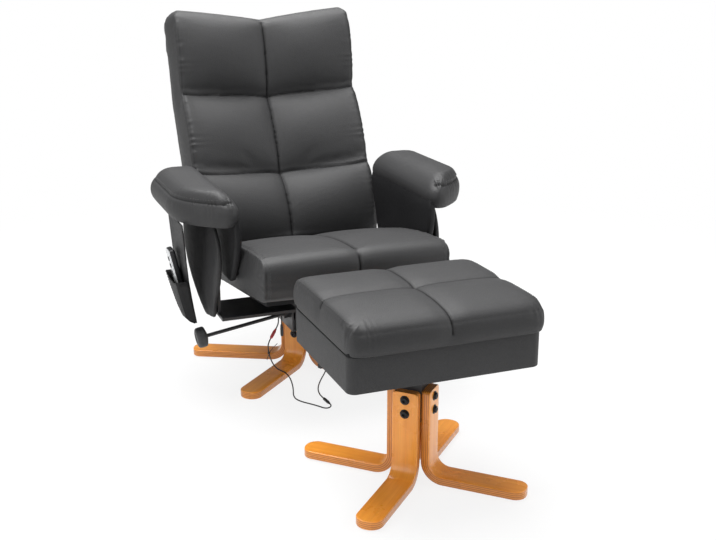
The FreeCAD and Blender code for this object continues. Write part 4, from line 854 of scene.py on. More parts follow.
@dataclass
class PaddedPiece:
    """A cover over foam: an even mesh, drawn in at its seams, swelled as cloth, creased and gathered."""

    name: str
    node: str
    body: str
    voxel: float
    shrink: float
    cap: float
    fill: float
    seams: list[Seam] = field(default_factory=list)
    hold: Callable[[Points, Points], Points] | None = None
    room: float = 0.004
    pressure: float = 3.0
    tension: float = 18.0
    shear: float = 9.0
    bending: float = 4.0
    frames: int = 20
    form: Callable[[], Obj] | None = None
    trim: Callable[[Points], Points] | None = None

    def base(self) -> Obj:
        """A closed even mesh of the solid, or of the form given for it.

        Returns:
            The mesh's object.
        """
        made = merged_copy(self.name, self.node) if self.form is None else self.form()
        modify(made, "REMESH", mode="VOXEL", voxel_size=self.voxel)
        settle(made)
        return made

    def draw_in(self, made: Obj) -> Points:
        """Shrink the form and pull it in at the seams.

        Args:
            made: the even mesh.

        Returns:
            For each corner, its distance from the nearest seam.
        """
        places, ways = coords(made.data), normals(made.data)
        nearest = np.full(len(places), 1e9)
        depth = np.full(len(places), self.shrink)
        for seam in self.seams:
            gap, _ = seam.field(places)
            nearest = np.minimum(nearest, gap)
            depth += seam.pull * np.exp(-(gap / seam.pull_wide) ** 2)
        if self.hold is not None:
            depth *= 1.0 - self.hold(places, ways)
        set_coords(made.data, places - ways * depth[:, None])
        return nearest

    def swell(self, made: Obj, nearest: Points) -> None:
        """Blow the cover up as cloth held at its seams.

        Args:
            made: the drawn-in mesh.
            nearest: distance of each corner from its nearest seam.
        """
        start, ways = coords(made.data), normals(made.data)
        held = nearest < self.voxel * 0.9
        if self.hold is not None:
            held |= self.hold(start, ways) > 0.5
        pins = made.vertex_groups.new(name="pins")
        pins.add([int(i) for i in np.flatnonzero(held)], 1.0, "REPLACE")
        cloth = made.modifiers.new("swell", "CLOTH")
        setting = cloth.settings
        setting.quality = 4
        setting.mass = 0.25
        setting.tension_stiffness = setting.compression_stiffness = self.tension
        setting.shear_stiffness = self.shear
        setting.bending_stiffness = self.bending
        setting.use_pressure = True
        setting.uniform_pressure_force = self.pressure
        setting.effector_weights.gravity = 0.0
        setting.vertex_group_mass = pins.name
        cloth.collision_settings.use_collision = False
        cloth.point_cache.frame_start = 1
        cloth.point_cache.frame_end = self.frames
        scene = bpy.context.scene
        for number in range(1, self.frames + 1):
            scene.frame_set(number)
        depsgraph = bpy.context.evaluated_depsgraph_get()
        blown = made.evaluated_get(depsgraph)
        ended = coords(blown.to_mesh())
        blown.to_mesh_clear()
        made.modifiers.clear()
        made.vertex_groups.clear()
        scene.frame_set(1)
        move = ended - start
        size = np.linalg.norm(move, axis=1)
        move *= (np.minimum(size, self.cap) / np.maximum(size, 1e-9))[:, None]
        set_coords(made.data, start + move)

    def keep_inside(self, made: Obj) -> None:
        """Keep the cover within its solid's box and a little room round it.

        Args:
            made: the cover.
        """
        low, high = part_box(self.node)
        places = coords(made.data)
        set_coords(made.data, np.clip(places, np.array(low) - self.room, np.array(high) + self.room))

    def refine(self, made: Obj) -> None:
        """Divide the mesh once, press in the seams' creases and gathers, and paint shade along the creases.

        Args:
            made: the cover.
        """
        modify(made, "SMOOTH", factor=0.4, iterations=2)
        modify(made, "SUBSURF", levels=1, render_levels=1)
        settle(made)
        places, ways = coords(made.data), normals(made.data)
        move, dark = np.zeros(len(places)), np.zeros(len(places))
        for seam in self.seams:
            line = Seam(snapped(made, seam.points))
            gap, along = line.field(places)
            move -= seam.crease * np.exp(-(gap / seam.crease_wide) ** 2)
            # Shade painted into the colour along the crease, kept for the finish as a point attribute.
            dark = np.maximum(dark, seam.painted_crease_shade * np.exp(-(gap / (seam.crease_wide * 0.7)) ** 2))
            if seam.gather > 0:
                wobble = 0.35 * np.sin(along / seam.gather_pitch * 1.9 + 0.7) + 0.25 * np.sin(along / 0.07)
                wave = np.cos(2 * math.pi * (along / seam.gather_pitch + wobble))
                strength = 0.65 + 0.35 * np.sin(along / 0.043 + 1.3)
                fade = np.exp(-gap / (seam.gather_reach * (0.75 + 0.25 * np.sin(along / 0.021))))
                local = 1.0 if seam.gather_at is None else seam.gather_at(places)
                move += seam.gather * wave * strength * fade * local
        places = places + ways * move[:, None]
        set_coords(made.data, places if self.trim is None else self.trim(places))
        made.data.attributes.new("painted_crease_shade", "FLOAT", "POINT").data.foreach_set("value", dark)
        smooth_all(made)

    def build(self) -> Obj:
        """Make the piece and seat it on its body.

        Returns:
            The finished cover.
        """
        made = self.base()
        nearest = self.draw_in(made)
        self.swell(made, nearest)
        self.keep_inside(made)
        self.refine(made)
        place(made, self.body, Finish.LEATHER, "faux_leather", self.node)
        return made


def bvh_of(made: Obj) -> BVHTree:
    """A search tree over an object's mesh."""
    return BVHTree.FromPolygons([v.co[:] for v in made.data.vertices],
                                [tuple(p.vertices) for p in made.data.polygons])


def snapped(made: Obj, points: Points) -> Points:
    """Points moved to the nearest place on a piece."""
    tree = bvh_of(made)
    return np.array([tree.find_nearest(Vector(p))[0][:] for p in points])


def cast(node: str, starts: Sequence[Vector], way: Vector) -> Points:
    """Carry points along a direction onto a solid's surface.

    Args:
        node: the solid.
        starts: points outside it.
        way: the direction.

    Returns:
        The places that were hit, in order, without misses.
    """
    tree = bvh_of(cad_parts[node])
    found = [tree.ray_cast(start, way)[0] for start in starts]
    return np.array([hit[:] for hit in found if hit is not None])


def sewn(name: str, made: Obj, lines: Sequence[Points], body: str, lift: float = 0.0004) -> None:
    """Sew stitches on a finished cover along lines near it.

    Args:
        name: the stitches' name.
        made: the cover.
        lines: points of each line.
        body: the body that carries the cover.
        lift: how far the thread stands off the cover.
    """
    tree = bvh_of(made)
    paths, ways = [], []
    for points in lines:
        hits = [tree.find_nearest(Vector(p)) for p in points]
        paths.append(np.array([(hit[0] + hit[1] * lift)[:] for hit in hits]))
        ways.append(np.array([hit[1][:] for hit in hits]))
    place(StitchRow.build(name, paths, ways), body, None, "faux_leather")


def rounded_loop(low: tuple[float, float], high: tuple[float, float], radii: Sequence[float],
                 steps: int = 10) -> Plan:
    """A closed level outline with round corners.

    Args:
        low: least x and y.
        high: greatest x and y.
        radii: corner rounds, from least-least counter-clockwise.
        steps: points on each corner.

    Returns:
        Points of the outline, the first one repeated at the end.
    """
    corners = [(low[0], low[1], 180), (high[0], low[1], 270), (high[0], high[1], 0), (low[0], high[1], 90)]
    loop = []
    for (x, y, start), radius in zip(corners, radii):
        cx = x + radius * (1 if x == low[0] else -1)
        cy = y + radius * (1 if y == low[1] else -1)
        for step in range(steps + 1):
            a = math.radians(start + 90 * step / steps)
            loop.append((cx + radius * math.cos(a), cy + radius * math.sin(a)))
    loop = dense(loop + loop[:1], 12.0)
    return loop + loop[:1]


@dataclass
class SeatUnit:
    """The seat: two columns sewn down the middle, rolled over at the front, boxed at the sides."""

    half: float = 252.0
    rear: float = 80.0
    front: float = -464.0
    boxing: float = 12.0
    stitch_inset: float = 20.0

    def roll_line(self, x: float) -> Points:
        """A line from the seat's rear over its front roll, at one place across.

        Args:
            x: the place across.

        Returns:
            Points on the cushion's solid.
        """
        top = [chair(x, y, 700) for y in spaced(self.rear - 14, self.front + 46, 26)]
        nose = [chair(x, self.front - 200, z) for z in spaced(438, 352, 10)]
        return np.concatenate([cast("seat_cushion", top, -UP), cast("seat_cushion", nose, AHEAD)])

    def build(self) -> None:
        """Make the cushion."""
        # The middle seam's crease and the side seams' creases get painted shade in the colour.
        middle = Seam(self.roll_line(0), pull=0.004, pull_wide=0.018, crease=0.0045, crease_wide=0.0042,
                      painted_crease_shade=1.0)
        sides = [Seam(self.roll_line(side * (self.half - self.boxing)), pull=0.001, pull_wide=0.010,
                      crease=0.0018, gather=0.0013, gather_reach=0.04, gather_pitch=0.030,
                      gather_at=lambda p: np.clip((-(p[:, 1] / MM - CHAIR_Y) - 180) / 160, 0.25, 1))
                 for side in (1, -1)]

        def under(places: Points, ways: Points) -> Points:
            """The cover's underside and rear, which stay as they are."""
            return ((ways[:, 2] < -0.6) | (places[:, 1] > (self.rear - 6 + CHAIR_Y) * MM)).astype(float)

        cushion = PaddedPiece("seat_pad", "seat_cushion", "swivel_seat", voxel=0.0065, shrink=0.003,
                              cap=0.012, fill=0.7, seams=[middle, *sides], hold=under).build()
        lines = [self.roll_line(side * (self.half - self.stitch_inset)) for side in (1, -1)]
        sewn("seat_stitches", cushion, lines, "swivel_seat")


@dataclass
class BackUnit:
    """The backrest: three rows of two panels, a wider head with a dipped top, boxed at the sides."""

    panel_half: float = 268.0
    seam_levels: tuple[float, float] = (526.0, 738.0)
    seam_rise: float = 24.0
    edge_step: float = 3.0
    low: float = 352.0
    hem: float = 362.0
    middle_top: float = 955.0
    side_top: float = 945.0
    start_front: float = -600.0

    def build(self) -> None:
        """Make the cushion."""
        front, reach = self.start_front, self.panel_half - self.edge_step
        lines = [[chair(0, front, z) for z in spaced(self.low, self.middle_top, 60)]]
        lines += [[chair(x, front, level + self.seam_rise * abs(x) / self.panel_half)
                   for x in spaced(-reach, reach, 45)] for level in self.seam_levels]
        # Each seam's crease gets painted shade in the colour, lighter at the side edges.
        seams = [Seam(cast("back_cushion", line, AHEAD), pull=0.004, pull_wide=0.018, crease=0.0050,
                      crease_wide=0.0042, painted_crease_shade=1.0) for line in lines]
        for side in (1, -1):
            line = [chair(side * reach, front, z) for z in spaced(self.low, self.side_top, 56)]
            seams.append(Seam(cast("back_cushion", line, AHEAD), pull=-0.004, pull_wide=0.020, crease=0.0012,
                              painted_crease_shade=0.35, gather=0.0010, gather_reach=0.022, gather_pitch=0.024))

        def behind(places: Points, ways: Points) -> Points:
            """The cover's rear and hem, which stay as they are."""
            return ((ways[:, 1] > 0.55) | (places[:, 2] < self.hem * MM)).astype(float)

        PaddedPiece("back_pad", "back_cushion", "backrest", voxel=0.0077, shrink=0.002, cap=0.009, fill=0.7,
                    seams=seams, hold=behind).build()


PANEL_SIDE: Plan = [(-292, 548), (-304, 505), (-305, 468), (-300, 440), (-289, 416), (-266, 381), (-245, 352),
                    (-236, 341), (-226, 336), (56, 336), (84, 420), (114, 498), (112, 548)]
PANEL_ROUND: Plan = [(0.0, 9.0), (0.8, 5.0), (2.6, 2.0), (5.5, 0.0), (14.5, 0.0), (17.4, 2.0), (19.2, 5.0),
                     (20.0, 9.0)]


@dataclass
class ArmUnit:
    """An arm: pad with a round gathered nose, padded outer post and padded inner board."""

    side: int
    inner: float = 258.0
    outer: float = 414.0
    front: float = -306.0
    rear: float = 124.0
    heel: float = 55.0
    sweep_long: float = 1.16
    sweep_wide: float = 0.744
    tip_reach: float = 13.0

    @property
    def name(self) -> str:
        """The side's name."""
        return "left" if self.side > 0 else "right"

    def edge(self, inset: float) -> Points:
        """A line along the pad's outer top edge, from its heel round to its nose.

        Args:
            inset: distance in from the edge.

        Returns:
            Points on the pad's solid.
        """
        inner, outer = self.inner + inset, self.outer - inset
        front, rear = self.front + inset, self.rear - inset
        long, wide = self.sweep_long * (outer - inner), self.sweep_wide * (outer - inner)
        sweep = (long ** 2 + wide ** 2) / (2 * wide)
        turns = spaced(0, math.asin(long / sweep), 24)
        plan = [(outer - self.heel, rear), (outer - self.heel * 0.3, rear - self.heel * 0.3)]
        plan += [(outer, y) for y in spaced(rear - self.heel, front + long + 6, 18)]
        plan += [(outer - sweep * (1 - math.cos(a)), front + long - sweep * math.sin(a)) for a in turns]
        plan += [(inner + (outer - wide - inner) * share, front + 12 * (1 - share)) for share in (0.6, 0.3)]
        starts = [chair(self.side * x, y, 800) for x, y in plan]
        return cast(f"arm_pad_{self.name}", starts, -UP)

    def nose(self, places: Points) -> Points:
        """Share of the gathers at each point, full at the pad's nose."""
        y = places[:, 1] / MM - CHAIR_Y
        return np.clip((-y - 205) / 80, 0.10, 1.0)

    def longer_nose(self, places: Points) -> Points:
        """Carry the nose's inner tip forward, where the cover is gathered over the board.

        Args:
            places: points on the cover.

        Returns:
            The moved points.
        """
        x = np.abs(places[:, 0] / MM)
        share = np.clip((-(places[:, 1] / MM - CHAIR_Y) - 235) / 70, 0, 1)
        kept = places.copy()
        kept[:, 1] -= self.tip_reach * MM * share ** 2 * (3 - 2 * share) * np.clip((352 - x) / 70, 0, 1)
        return kept

    def build(self) -> None:
        """Make the pad, the post and the board."""
        # The pad's top seam gets half-strength painted shade along its crease.
        top = Seam(self.edge(9), pull=0.002, pull_wide=0.012, crease=0.0026, painted_crease_shade=0.5, gather=0.0034,
                   gather_reach=0.024, gather_pitch=0.015, gather_at=self.nose)

        def under(_: Points, ways: Points) -> Points:
            """The pad's underside, which stays as it is."""
            return (ways[:, 2] < -0.75).astype(float)

        pad = PaddedPiece(f"arm_cover_{self.name}", f"arm_pad_{self.name}", "swivel_seat", voxel=0.005,
                          shrink=0.002, cap=0.008, fill=0.75, seams=[top], hold=under,
                          trim=self.longer_nose).build()
        sewn(f"arm_stitches_{self.name}", pad, [self.edge(14)], "swivel_seat")

        def ends(_: Points, ways: Points) -> Points:
            """The post's two ends, which stay as they are."""
            return (np.abs(ways[:, 2]) > 0.8).astype(float)

        PaddedPiece(f"post_cover_{self.name}", f"arm_post_{self.name}", "swivel_seat", voxel=0.0045,
                    shrink=0.003, cap=0.008, fill=0.5, hold=ends, room=0.001).build()

        panel = self.panel()
        # The inner board takes the darker copy of the leather, its shade painted into the colour.
        place(panel, "swivel_seat", Finish.PAINTED_SHADE_LEATHER, "faux_leather", f"arm_panel_{self.name}")

    def panel(self) -> Obj:
        """The padded board between pad and seat, running up into the pad's inner side.

        Returns:
            The board's cover.
        """
        outline = dense(PANEL_SIDE + PANEL_SIDE[:1], 9.0)
        middle_y = sum(y for y, _ in outline) / len(outline)
        middle_z = sum(z for _, z in outline) / len(outline)
        sections = []
        inside = [(0.0, 9.0, share) for share in (0.06, 0.35, 0.62, 0.84)]
        outside = [(20.0, 9.0, share) for share in (0.84, 0.62, 0.35, 0.06)]
        for step, shrink, share in inside + [(*pair, 1.0) for pair in PANEL_ROUND] + outside:
            ring = []
            for y, z in outline:
                away = math.hypot(y - middle_y, z - middle_z)
                y_in = middle_y + (y - middle_y) * (1 - shrink / away) * share
                z_in = middle_z + (z - middle_z) * (1 - shrink / away) * share
                lean = 11.0 * min(max((z_in - 506) / 42, 0.0), 1.0) ** 1.4
                ring.append(chair(self.side * (self.inner - 0.8 + step + lean), y_in, z_in)[:])
            sections.append(np.array(ring))
        made = rings(f"panel_cover_{self.name}", sections)
        modify(made, "SUBSURF", levels=1, render_levels=1)
        settle(made)
        smooth_all(made)
        return made


@dataclass
class BentLeg:
    """A bentwood leg: a flat strip of glued plies that turns out into a foot."""

    width: float = 62.0
    thick: float = 20.0
    bend: float = 32.0
    low: float = 2.0
    tip_round: float = 26.0
    corner_round: float = 9.0
    edge_round: float = 3.0

    def path(self, inner: float, top: float, s: float, t: float) -> tuple[float, float]:
        """Radius and height of a point of the strip.

        Args:
            inner: distance of the inner face from the base's axis.
            top: height of the strip's upper end.
            s: length along the strip from its upper end.
            t: depth from the inner face.

        Returns:
            The point's distance from the axis and its height.
        """
        middle = self.bend + self.thick / 2
        centre_r, centre_z = inner + self.thick + self.bend, self.low + self.thick + self.bend
        upright = top - centre_z
        quarter = middle * math.pi / 2
        if s <= upright:
            return inner + t, top - s
        if s <= upright + quarter:
            a = math.pi + (s - upright) / middle
            radius = self.bend + self.thick - t
            return centre_r + radius * math.cos(a), centre_z + radius * math.sin(a)
        return centre_r + s - upright - quarter, self.low + t

    def length(self, inner: float, top: float, reach: float) -> float:
        """Length of the strip along its middle."""
        upright = top - self.low - self.thick - self.bend
        return upright + (self.bend + self.thick / 2) * math.pi / 2 + reach - inner - self.thick - self.bend

    def stations(self, long: float, upright: float) -> list[float]:
        """Places along the strip where it is drawn: close together at the ends and round the bend.

        Args:
            long: length of the strip.
            upright: length of its straight upper part.

        Returns:
            Lengths from the strip's upper end.
        """
        start = [self.corner_round * (1 - math.cos(a)) for a in spaced(0, math.pi / 2, 7)]
        bend_long = (self.bend + self.thick / 2) * math.pi / 2
        middle = spaced(self.corner_round + 4, upright, 8) + spaced(upright, upright + bend_long, 15)[1:]
        foot = spaced(upright + bend_long, long - self.tip_round, 10)[1:]
        end = [long - self.tip_round * (1 - math.sin(a)) for a in spaced(0, math.pi / 2, 14)[1:]]
        return start + middle + foot + end

    def half_width(self, s: float, long: float) -> float:
        """Half the strip's width at a place along it.

        Args:
            s: length from the strip's upper end.
            long: length of the strip.

        Returns:
            Half the width.
        """
        half = self.width / 2
        if s < self.corner_round:
            return half - self.corner_round + math.sqrt(self.corner_round ** 2 - (self.corner_round - s) ** 2)
        if s > long - self.tip_round:
            over = s - (long - self.tip_round)
            return half - self.tip_round + math.sqrt(max(self.tip_round ** 2 - over ** 2, 0.0))
        return half

    def build(self, name: str, inner: float, top: float, reach: float, angle: float, axis: Vector) -> Obj:
        """Make one leg with its ply and figure maps.

        Args:
            name: the piece's name.
            inner: distance of the inner face from the base's axis.
            top: height of the upper end.
            reach: distance of the tip from the axis.
            angle: direction of the leg, in degrees.
            axis: a point on the base's axis, on the floor.

        Returns:
            The leg.
        """
        long = self.length(inner, top, reach)
        upright = top - self.low - self.thick - self.bend
        out = outward(angle)
        across = Vector((-out.y, out.x, 0))
        sections, runs, plies, edges = [], [], [], []
        stations = [(s, 0.0) for s in self.stations(long, upright)]
        drawn = [(stations[0][0], self.edge_round)] + stations + [(long, self.edge_round)]
        for s, inset in drawn:
            half = max(self.half_width(s, long) - inset, 0.4)
            edge = min(self.edge_round, half * 0.9)
            ring = []
            for w, t in self.section(half, inset, edge):
                r, z = self.path(inner, top, s, t)
                ring.append((axis + (out * r + across * w) * MM + Vector((0, 0, z * MM)))[:])
                runs.append((s * MM, w * MM))
                plies.append(t / self.thick)
                edges.append(1.0 if self.edge_round * 0.7 < t < self.thick - self.edge_round * 0.7 else 0.0)
            sections.append(np.array(ring))
        made = rings(name, sections)
        mesh = made.data
        mesh.attributes.new("ply", "FLOAT", "POINT").data.foreach_set("value", plies)
        mesh.attributes.new("edge", "FLOAT", "POINT").data.foreach_set("value", edges)
        layer = mesh.uv_layers.new(name="run")
        for loop in mesh.loops:
            layer.data[loop.index].uv = runs[loop.vertex_index]
        sharpen(made, 50.0)
        return made

    def section(self, half: float, inset: float, edge: float) -> Plan:
        """Corner places of one cross-section: across the strip, and depth from its inner face.

        Args:
            half: half the section's width.
            inset: how far it is drawn in.
            edge: round of its edges.

        Returns:
            The section's corners, in order.
        """
        low, high = inset, self.thick - inset
        edge = min(edge, (high - low) / 2 - 0.1)
        ring = []
        for cw, ct, start in ((half - edge, high - edge, 0), (-half + edge, high - edge, 90),
                              (-half + edge, low + edge, 180), (half - edge, low + edge, 270)):
            for step in range(4):
                a = math.radians(start + 30 * step)
                ring.append((cw + edge * math.cos(a), ct + edge * math.sin(a)))
            if start in (0, 180):
                sign = 1 if start == 0 else -1
                ring += [(sign * share * (half - edge), ct + sign * edge) for share in (0.5, 0.0, -0.5)]
            else:
                sign = -1 if start == 90 else 1
                ring += [(cw + sign * edge, low + (high - low) * (share if sign > 0 else 1 - share))
                         for share in (0.3, 0.5, 0.7)]
        return ring


@dataclass
class StarBase:
    """A ring of bent legs bolted to a hub."""

    kind: str
    body: str
    count: int
    start: float
    top: float
    reach: float
    axis: Vector
    bolts_node: str
    upper_drop: float = 18.0
    pitch: float = 33.0
    leg: BentLeg = field(default_factory=BentLeg)

    @property
    def inner(self) -> float:
        """Distance of the legs' inner faces from the axis."""
        return self.leg.width / 2 / math.tan(math.pi / self.count) + 0.6

    def build(self, bolt: Obj) -> None:
        """Make the legs and their bolts.

        Args:
            bolt: the bolt that is copied.
        """
        seats = []
        for index in range(self.count):
            angle = self.start + 360 / self.count * index
            leg = self.leg.build(f"{self.kind}_wood_{index + 1}", self.inner, self.top, self.reach, angle,
                                 self.axis)
            place(leg, self.body, Finish.BENTWOOD, "bentwood", f"{self.kind}_leg_{index + 1}")
            out = outward(angle)
            for drop in (self.upper_drop, self.upper_drop + self.pitch):
                level = Vector((0, 0, (self.top - drop) * MM))
                seats.append((self.axis + out * (self.inner + self.leg.thick) * MM + level, out))
        bolts = BoltCopies.build(f"{self.kind}_bolt_heads", seats, bolt)
        sharpen(bolts)
        place(bolts, self.body, None, "bolt_steel", self.bolts_node)


def socket_bolt() -> Obj:
    """A button-head bolt with a hexagon socket on a washer, drawn about +Z on the washer's seat.

    Returns:
        The bolt that is copied.
    """
    profile = [(-0.6, 4.0), (-0.6, 11.0), (0.0, 11.0), (1.1, 11.0), (1.5, 10.5), (1.5, 8.2), (1.9, 8.2),
               (4.6, 8.0), (5.8, 7.3), (6.5, 6.0), (6.6, 4.4)]
    made = lathe("bolt_pattern", profile, Vector((0, 0, 0)), UP, 24)
    work = bmesh.new()
    work.from_mesh(made.data)
    work.faces.ensure_lookup_table()
    cap = max((f for f in work.faces if len(f.verts) == 24), key=lambda f: f.calc_center_median().z)
    rim, deep, socket = 0.0008, 0.0035, 0.0030
    bmesh.ops.inset_region(work, faces=[cap], thickness=rim)
    pushed = bmesh.ops.extrude_discrete_faces(work, faces=[cap])["faces"]
    bmesh.ops.translate(work, verts=list({v for f in pushed for v in f.verts}), vec=(0, 0, -deep))
    for corner in {v for f in pushed for v in f.verts}:
        flat = corner.co.to_2d()
        step = math.radians(60)
        turn = (math.atan2(flat.y, flat.x) + step / 2) % step - step / 2
        corner.co.x, corner.co.y = (flat.normalized() * socket * math.cos(step / 2) / math.cos(turn))[:]
    work.to_mesh(made.data)
    work.free()
    return made


@dataclass
class LockLever:
    """The recline lock's rod and round knob."""

    start: Place = (-95.0, -150.0, 203.0)
    droop: float = 9.0
    knob_reach: float = 232.0
    knob_radius: float = 28.0
    knob_long: float = 30.0

    def build(self) -> None:
        """Make the knob and dress the rod."""
        a = math.radians(self.droop)
        way = Vector((-math.cos(a), 0, -math.sin(a)))
        face = chair(*self.start) + way * self.knob_reach * MM
        r, long = self.knob_radius, self.knob_long
        profile = [(0.0, 5.2), (0.0, 12.0), (0.8, 14.0), (3.0, 21.5), (4.6, 25.6), (7.0, 27.6), (10.0, r),
                   (15.0, r), (long - 9, r - 0.1), (long - 5, r - 1.0), (long - 2, r - 3.6),
                   (long - 0.6, r - 7.0), (long, r - 11), (long, r - 14), (long - 1.4, r - 15),
                   (long - 1.8, 4.0)]
        knob = lathe("knob_cap", profile, face, way, 56)
        place(knob, "lock_lever", Finish.PLASTIC, "black_plastic", "lock_knob")
        dress_node("lock_rod", Finish.STEEL)


@dataclass
class SidePouch:
    """The sewn pouch that hangs at the sitter's right, with the hand control in it."""

    heights: tuple[float, ...] = (206.0, 214.0, 232.0, 255.0, 285.0, 335.0, 410.0, 500.0)
    fronts: tuple[float, ...] = (-150.0, -154.0, -158.0, -163.0, -172.0, -190.0, -222.0, -226.0)
    rears: tuple[float, ...] = (-132.0, -112.0, -82.0, -70.0, -61.0, -55.0, -55.0, -55.0)
    back_line: Line = (
        (-391.5, 497.0), (-384.5, 400.0), (-374.5, 335.0), (-353.5, 222.0), (-350.5, 206.0))
    face_line: Line = (
        (-406.5, 335.0), (-377.5, 226.0), (-366.0, 213.0), (-354.0, 206.0))
    side_deep: float = 128.0
    wall: float = 3.0
    control_lean: float = 12.0
    shell_step: float = 5.8

    def front(self, z: float) -> float:
        """Place of the pouch's front edge at a height."""
        return float(np.interp(z, self.heights, self.fronts))

    def rear(self, z: float) -> float:
        """Place of the pouch's rear edge at a height."""
        return float(np.interp(z, self.heights, self.rears))

    def sheet(self, line: Line, bulge: float, dip: float) -> tuple[list[Vector], int, int]:
        """Points of one panel across the pouch.

        Args:
            line: side view of the panel, outward distance and height.
            bulge: how far its middle stands out.
            dip: how far its upper edge sags in the middle.

        Returns:
            The points, and the numbers of rows and columns.
        """
        steps = dense(line, 8.0, 2) + [line[-1]]
        columns, last = 21, len(steps) - 1
        points = []
        for row, (x, z) in enumerate(steps):
            rise = math.sin(math.pi * row / last)
            for k in range(columns):
                u = k / (columns - 1)
                crown = math.sin(math.pi * u) ** 0.7
                y = self.front(z) + (self.rear(z) - self.front(z)) * u
                sag = dip * crown * (1 - row / last) ** 3
                points.append(chair(x - bulge * crown * (0.25 + 0.75 * rise), y, z - sag))
        return points, len(steps), columns

    def panel(self, name: str, line: Line, bulge: float, dip: float) -> Obj:
        """One panel with thickness and a soft edge.

        Args:
            name: the piece's name.
            line: side view of the panel, outward distance and height.
            bulge: how far its middle stands out.
            dip: how far its upper edge sags in the middle.

        Returns:
            The panel.
        """
        points, rows, columns = self.sheet(line, bulge, dip)
        faces = [(r * columns + c, r * columns + c + 1, (r + 1) * columns + c + 1, (r + 1) * columns + c)
                 for r in range(rows - 1) for c in range(columns - 1)]
        made = mesh_object(name, points, faces)
        modify(made, "SOLIDIFY", thickness=self.wall * MM, offset=0.0)
        modify(made, "BEVEL", width=0.0011, segments=2, limit_method="ANGLE")
        settle(made)
        smooth_all(made)
        return made

    def build(self) -> None:
        """Make the pouch and dress the hand control."""
        back = self.panel("pouch_back", self.back_line, 0.0, 0.0)
        place(back, "swivel_seat", Finish.POCKET, "pocket_cloth", "side_pocket")
        face = self.panel("pouch_face", self.face_line, 5.0, 9.0)
        place(face, "swivel_seat", Finish.POCKET, "pocket_cloth")
        for label, edge, inset in (("front", self.front, 1.5), ("rear", self.rear, -1.5)):
            gusset = self.gusset(f"pouch_side_{label}", edge, inset)
            place(gusset, "swivel_seat", Finish.POCKET, "pocket_cloth")
        self.stitches(face)
        self.dress_control()
        for key in ("power", "mode", "heat"):
            dress_node(f"remote_key_{key}", Finish.RUBBER)

    def dress_control(self) -> None:
        """Give the hand control its pale outer shell and dark inner one."""
        low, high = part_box("remote_case")
        lean = math.radians(self.control_lean)
        out = Vector((-math.cos(lean), 0.0, -math.sin(lean)))
        parting = (low + high).dot(out) / 2 + self.shell_step * MM
        shells = TwoShellFinish("silver_plastic", (0.60, 0.61, 0.62), grey(0.018, 0.002), tuple(out), parting)
        coat(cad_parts["remote_case"], shells.material())

    def gusset(self, name: str, edge: Callable[[float], float], inset: float) -> Obj:
        """A side of the pouch, from its back to its face.

        Args:
            name: the piece's name.
            edge: place of the pouch's edge at a height.
            inset: distance in from that edge.

        Returns:
            The side.
        """
        rows = []
        for share in spaced(0, 1, 9):
            z = self.face_line[0][1] - share * self.side_deep
            outer, inner = (float(np.interp(z, *zip(*[(h, x) for x, h in reversed(line)])))
                            for line in (self.face_line, self.back_line))
            rows.append([chair(outer + (inner - outer) * k / 4, edge(z) + inset, z) for k in range(5)])
        points = [p for row in rows for p in row]
        faces = [(r * 5 + c, r * 5 + c + 1, r * 5 + c + 6, r * 5 + c + 5) for r in range(8) for c in range(4)]
        made = mesh_object(name, points, faces)
        modify(made, "SOLIDIFY", thickness=self.wall * MM, offset=0.0)
        settle(made)
        return made

    def stitches(self, face: Obj) -> None:
        """Sew the pouch's edges.

        Args:
            face: the pouch's face.
        """
        lines = [np.array([chair(-420, edge(z) + inset, z)[:] for z in spaced(330, 230, 18)])
                 for edge, inset in ((self.front, 5), (self.rear, -5))]
        sewn("pouch_stitches", face, lines, "swivel_seat")


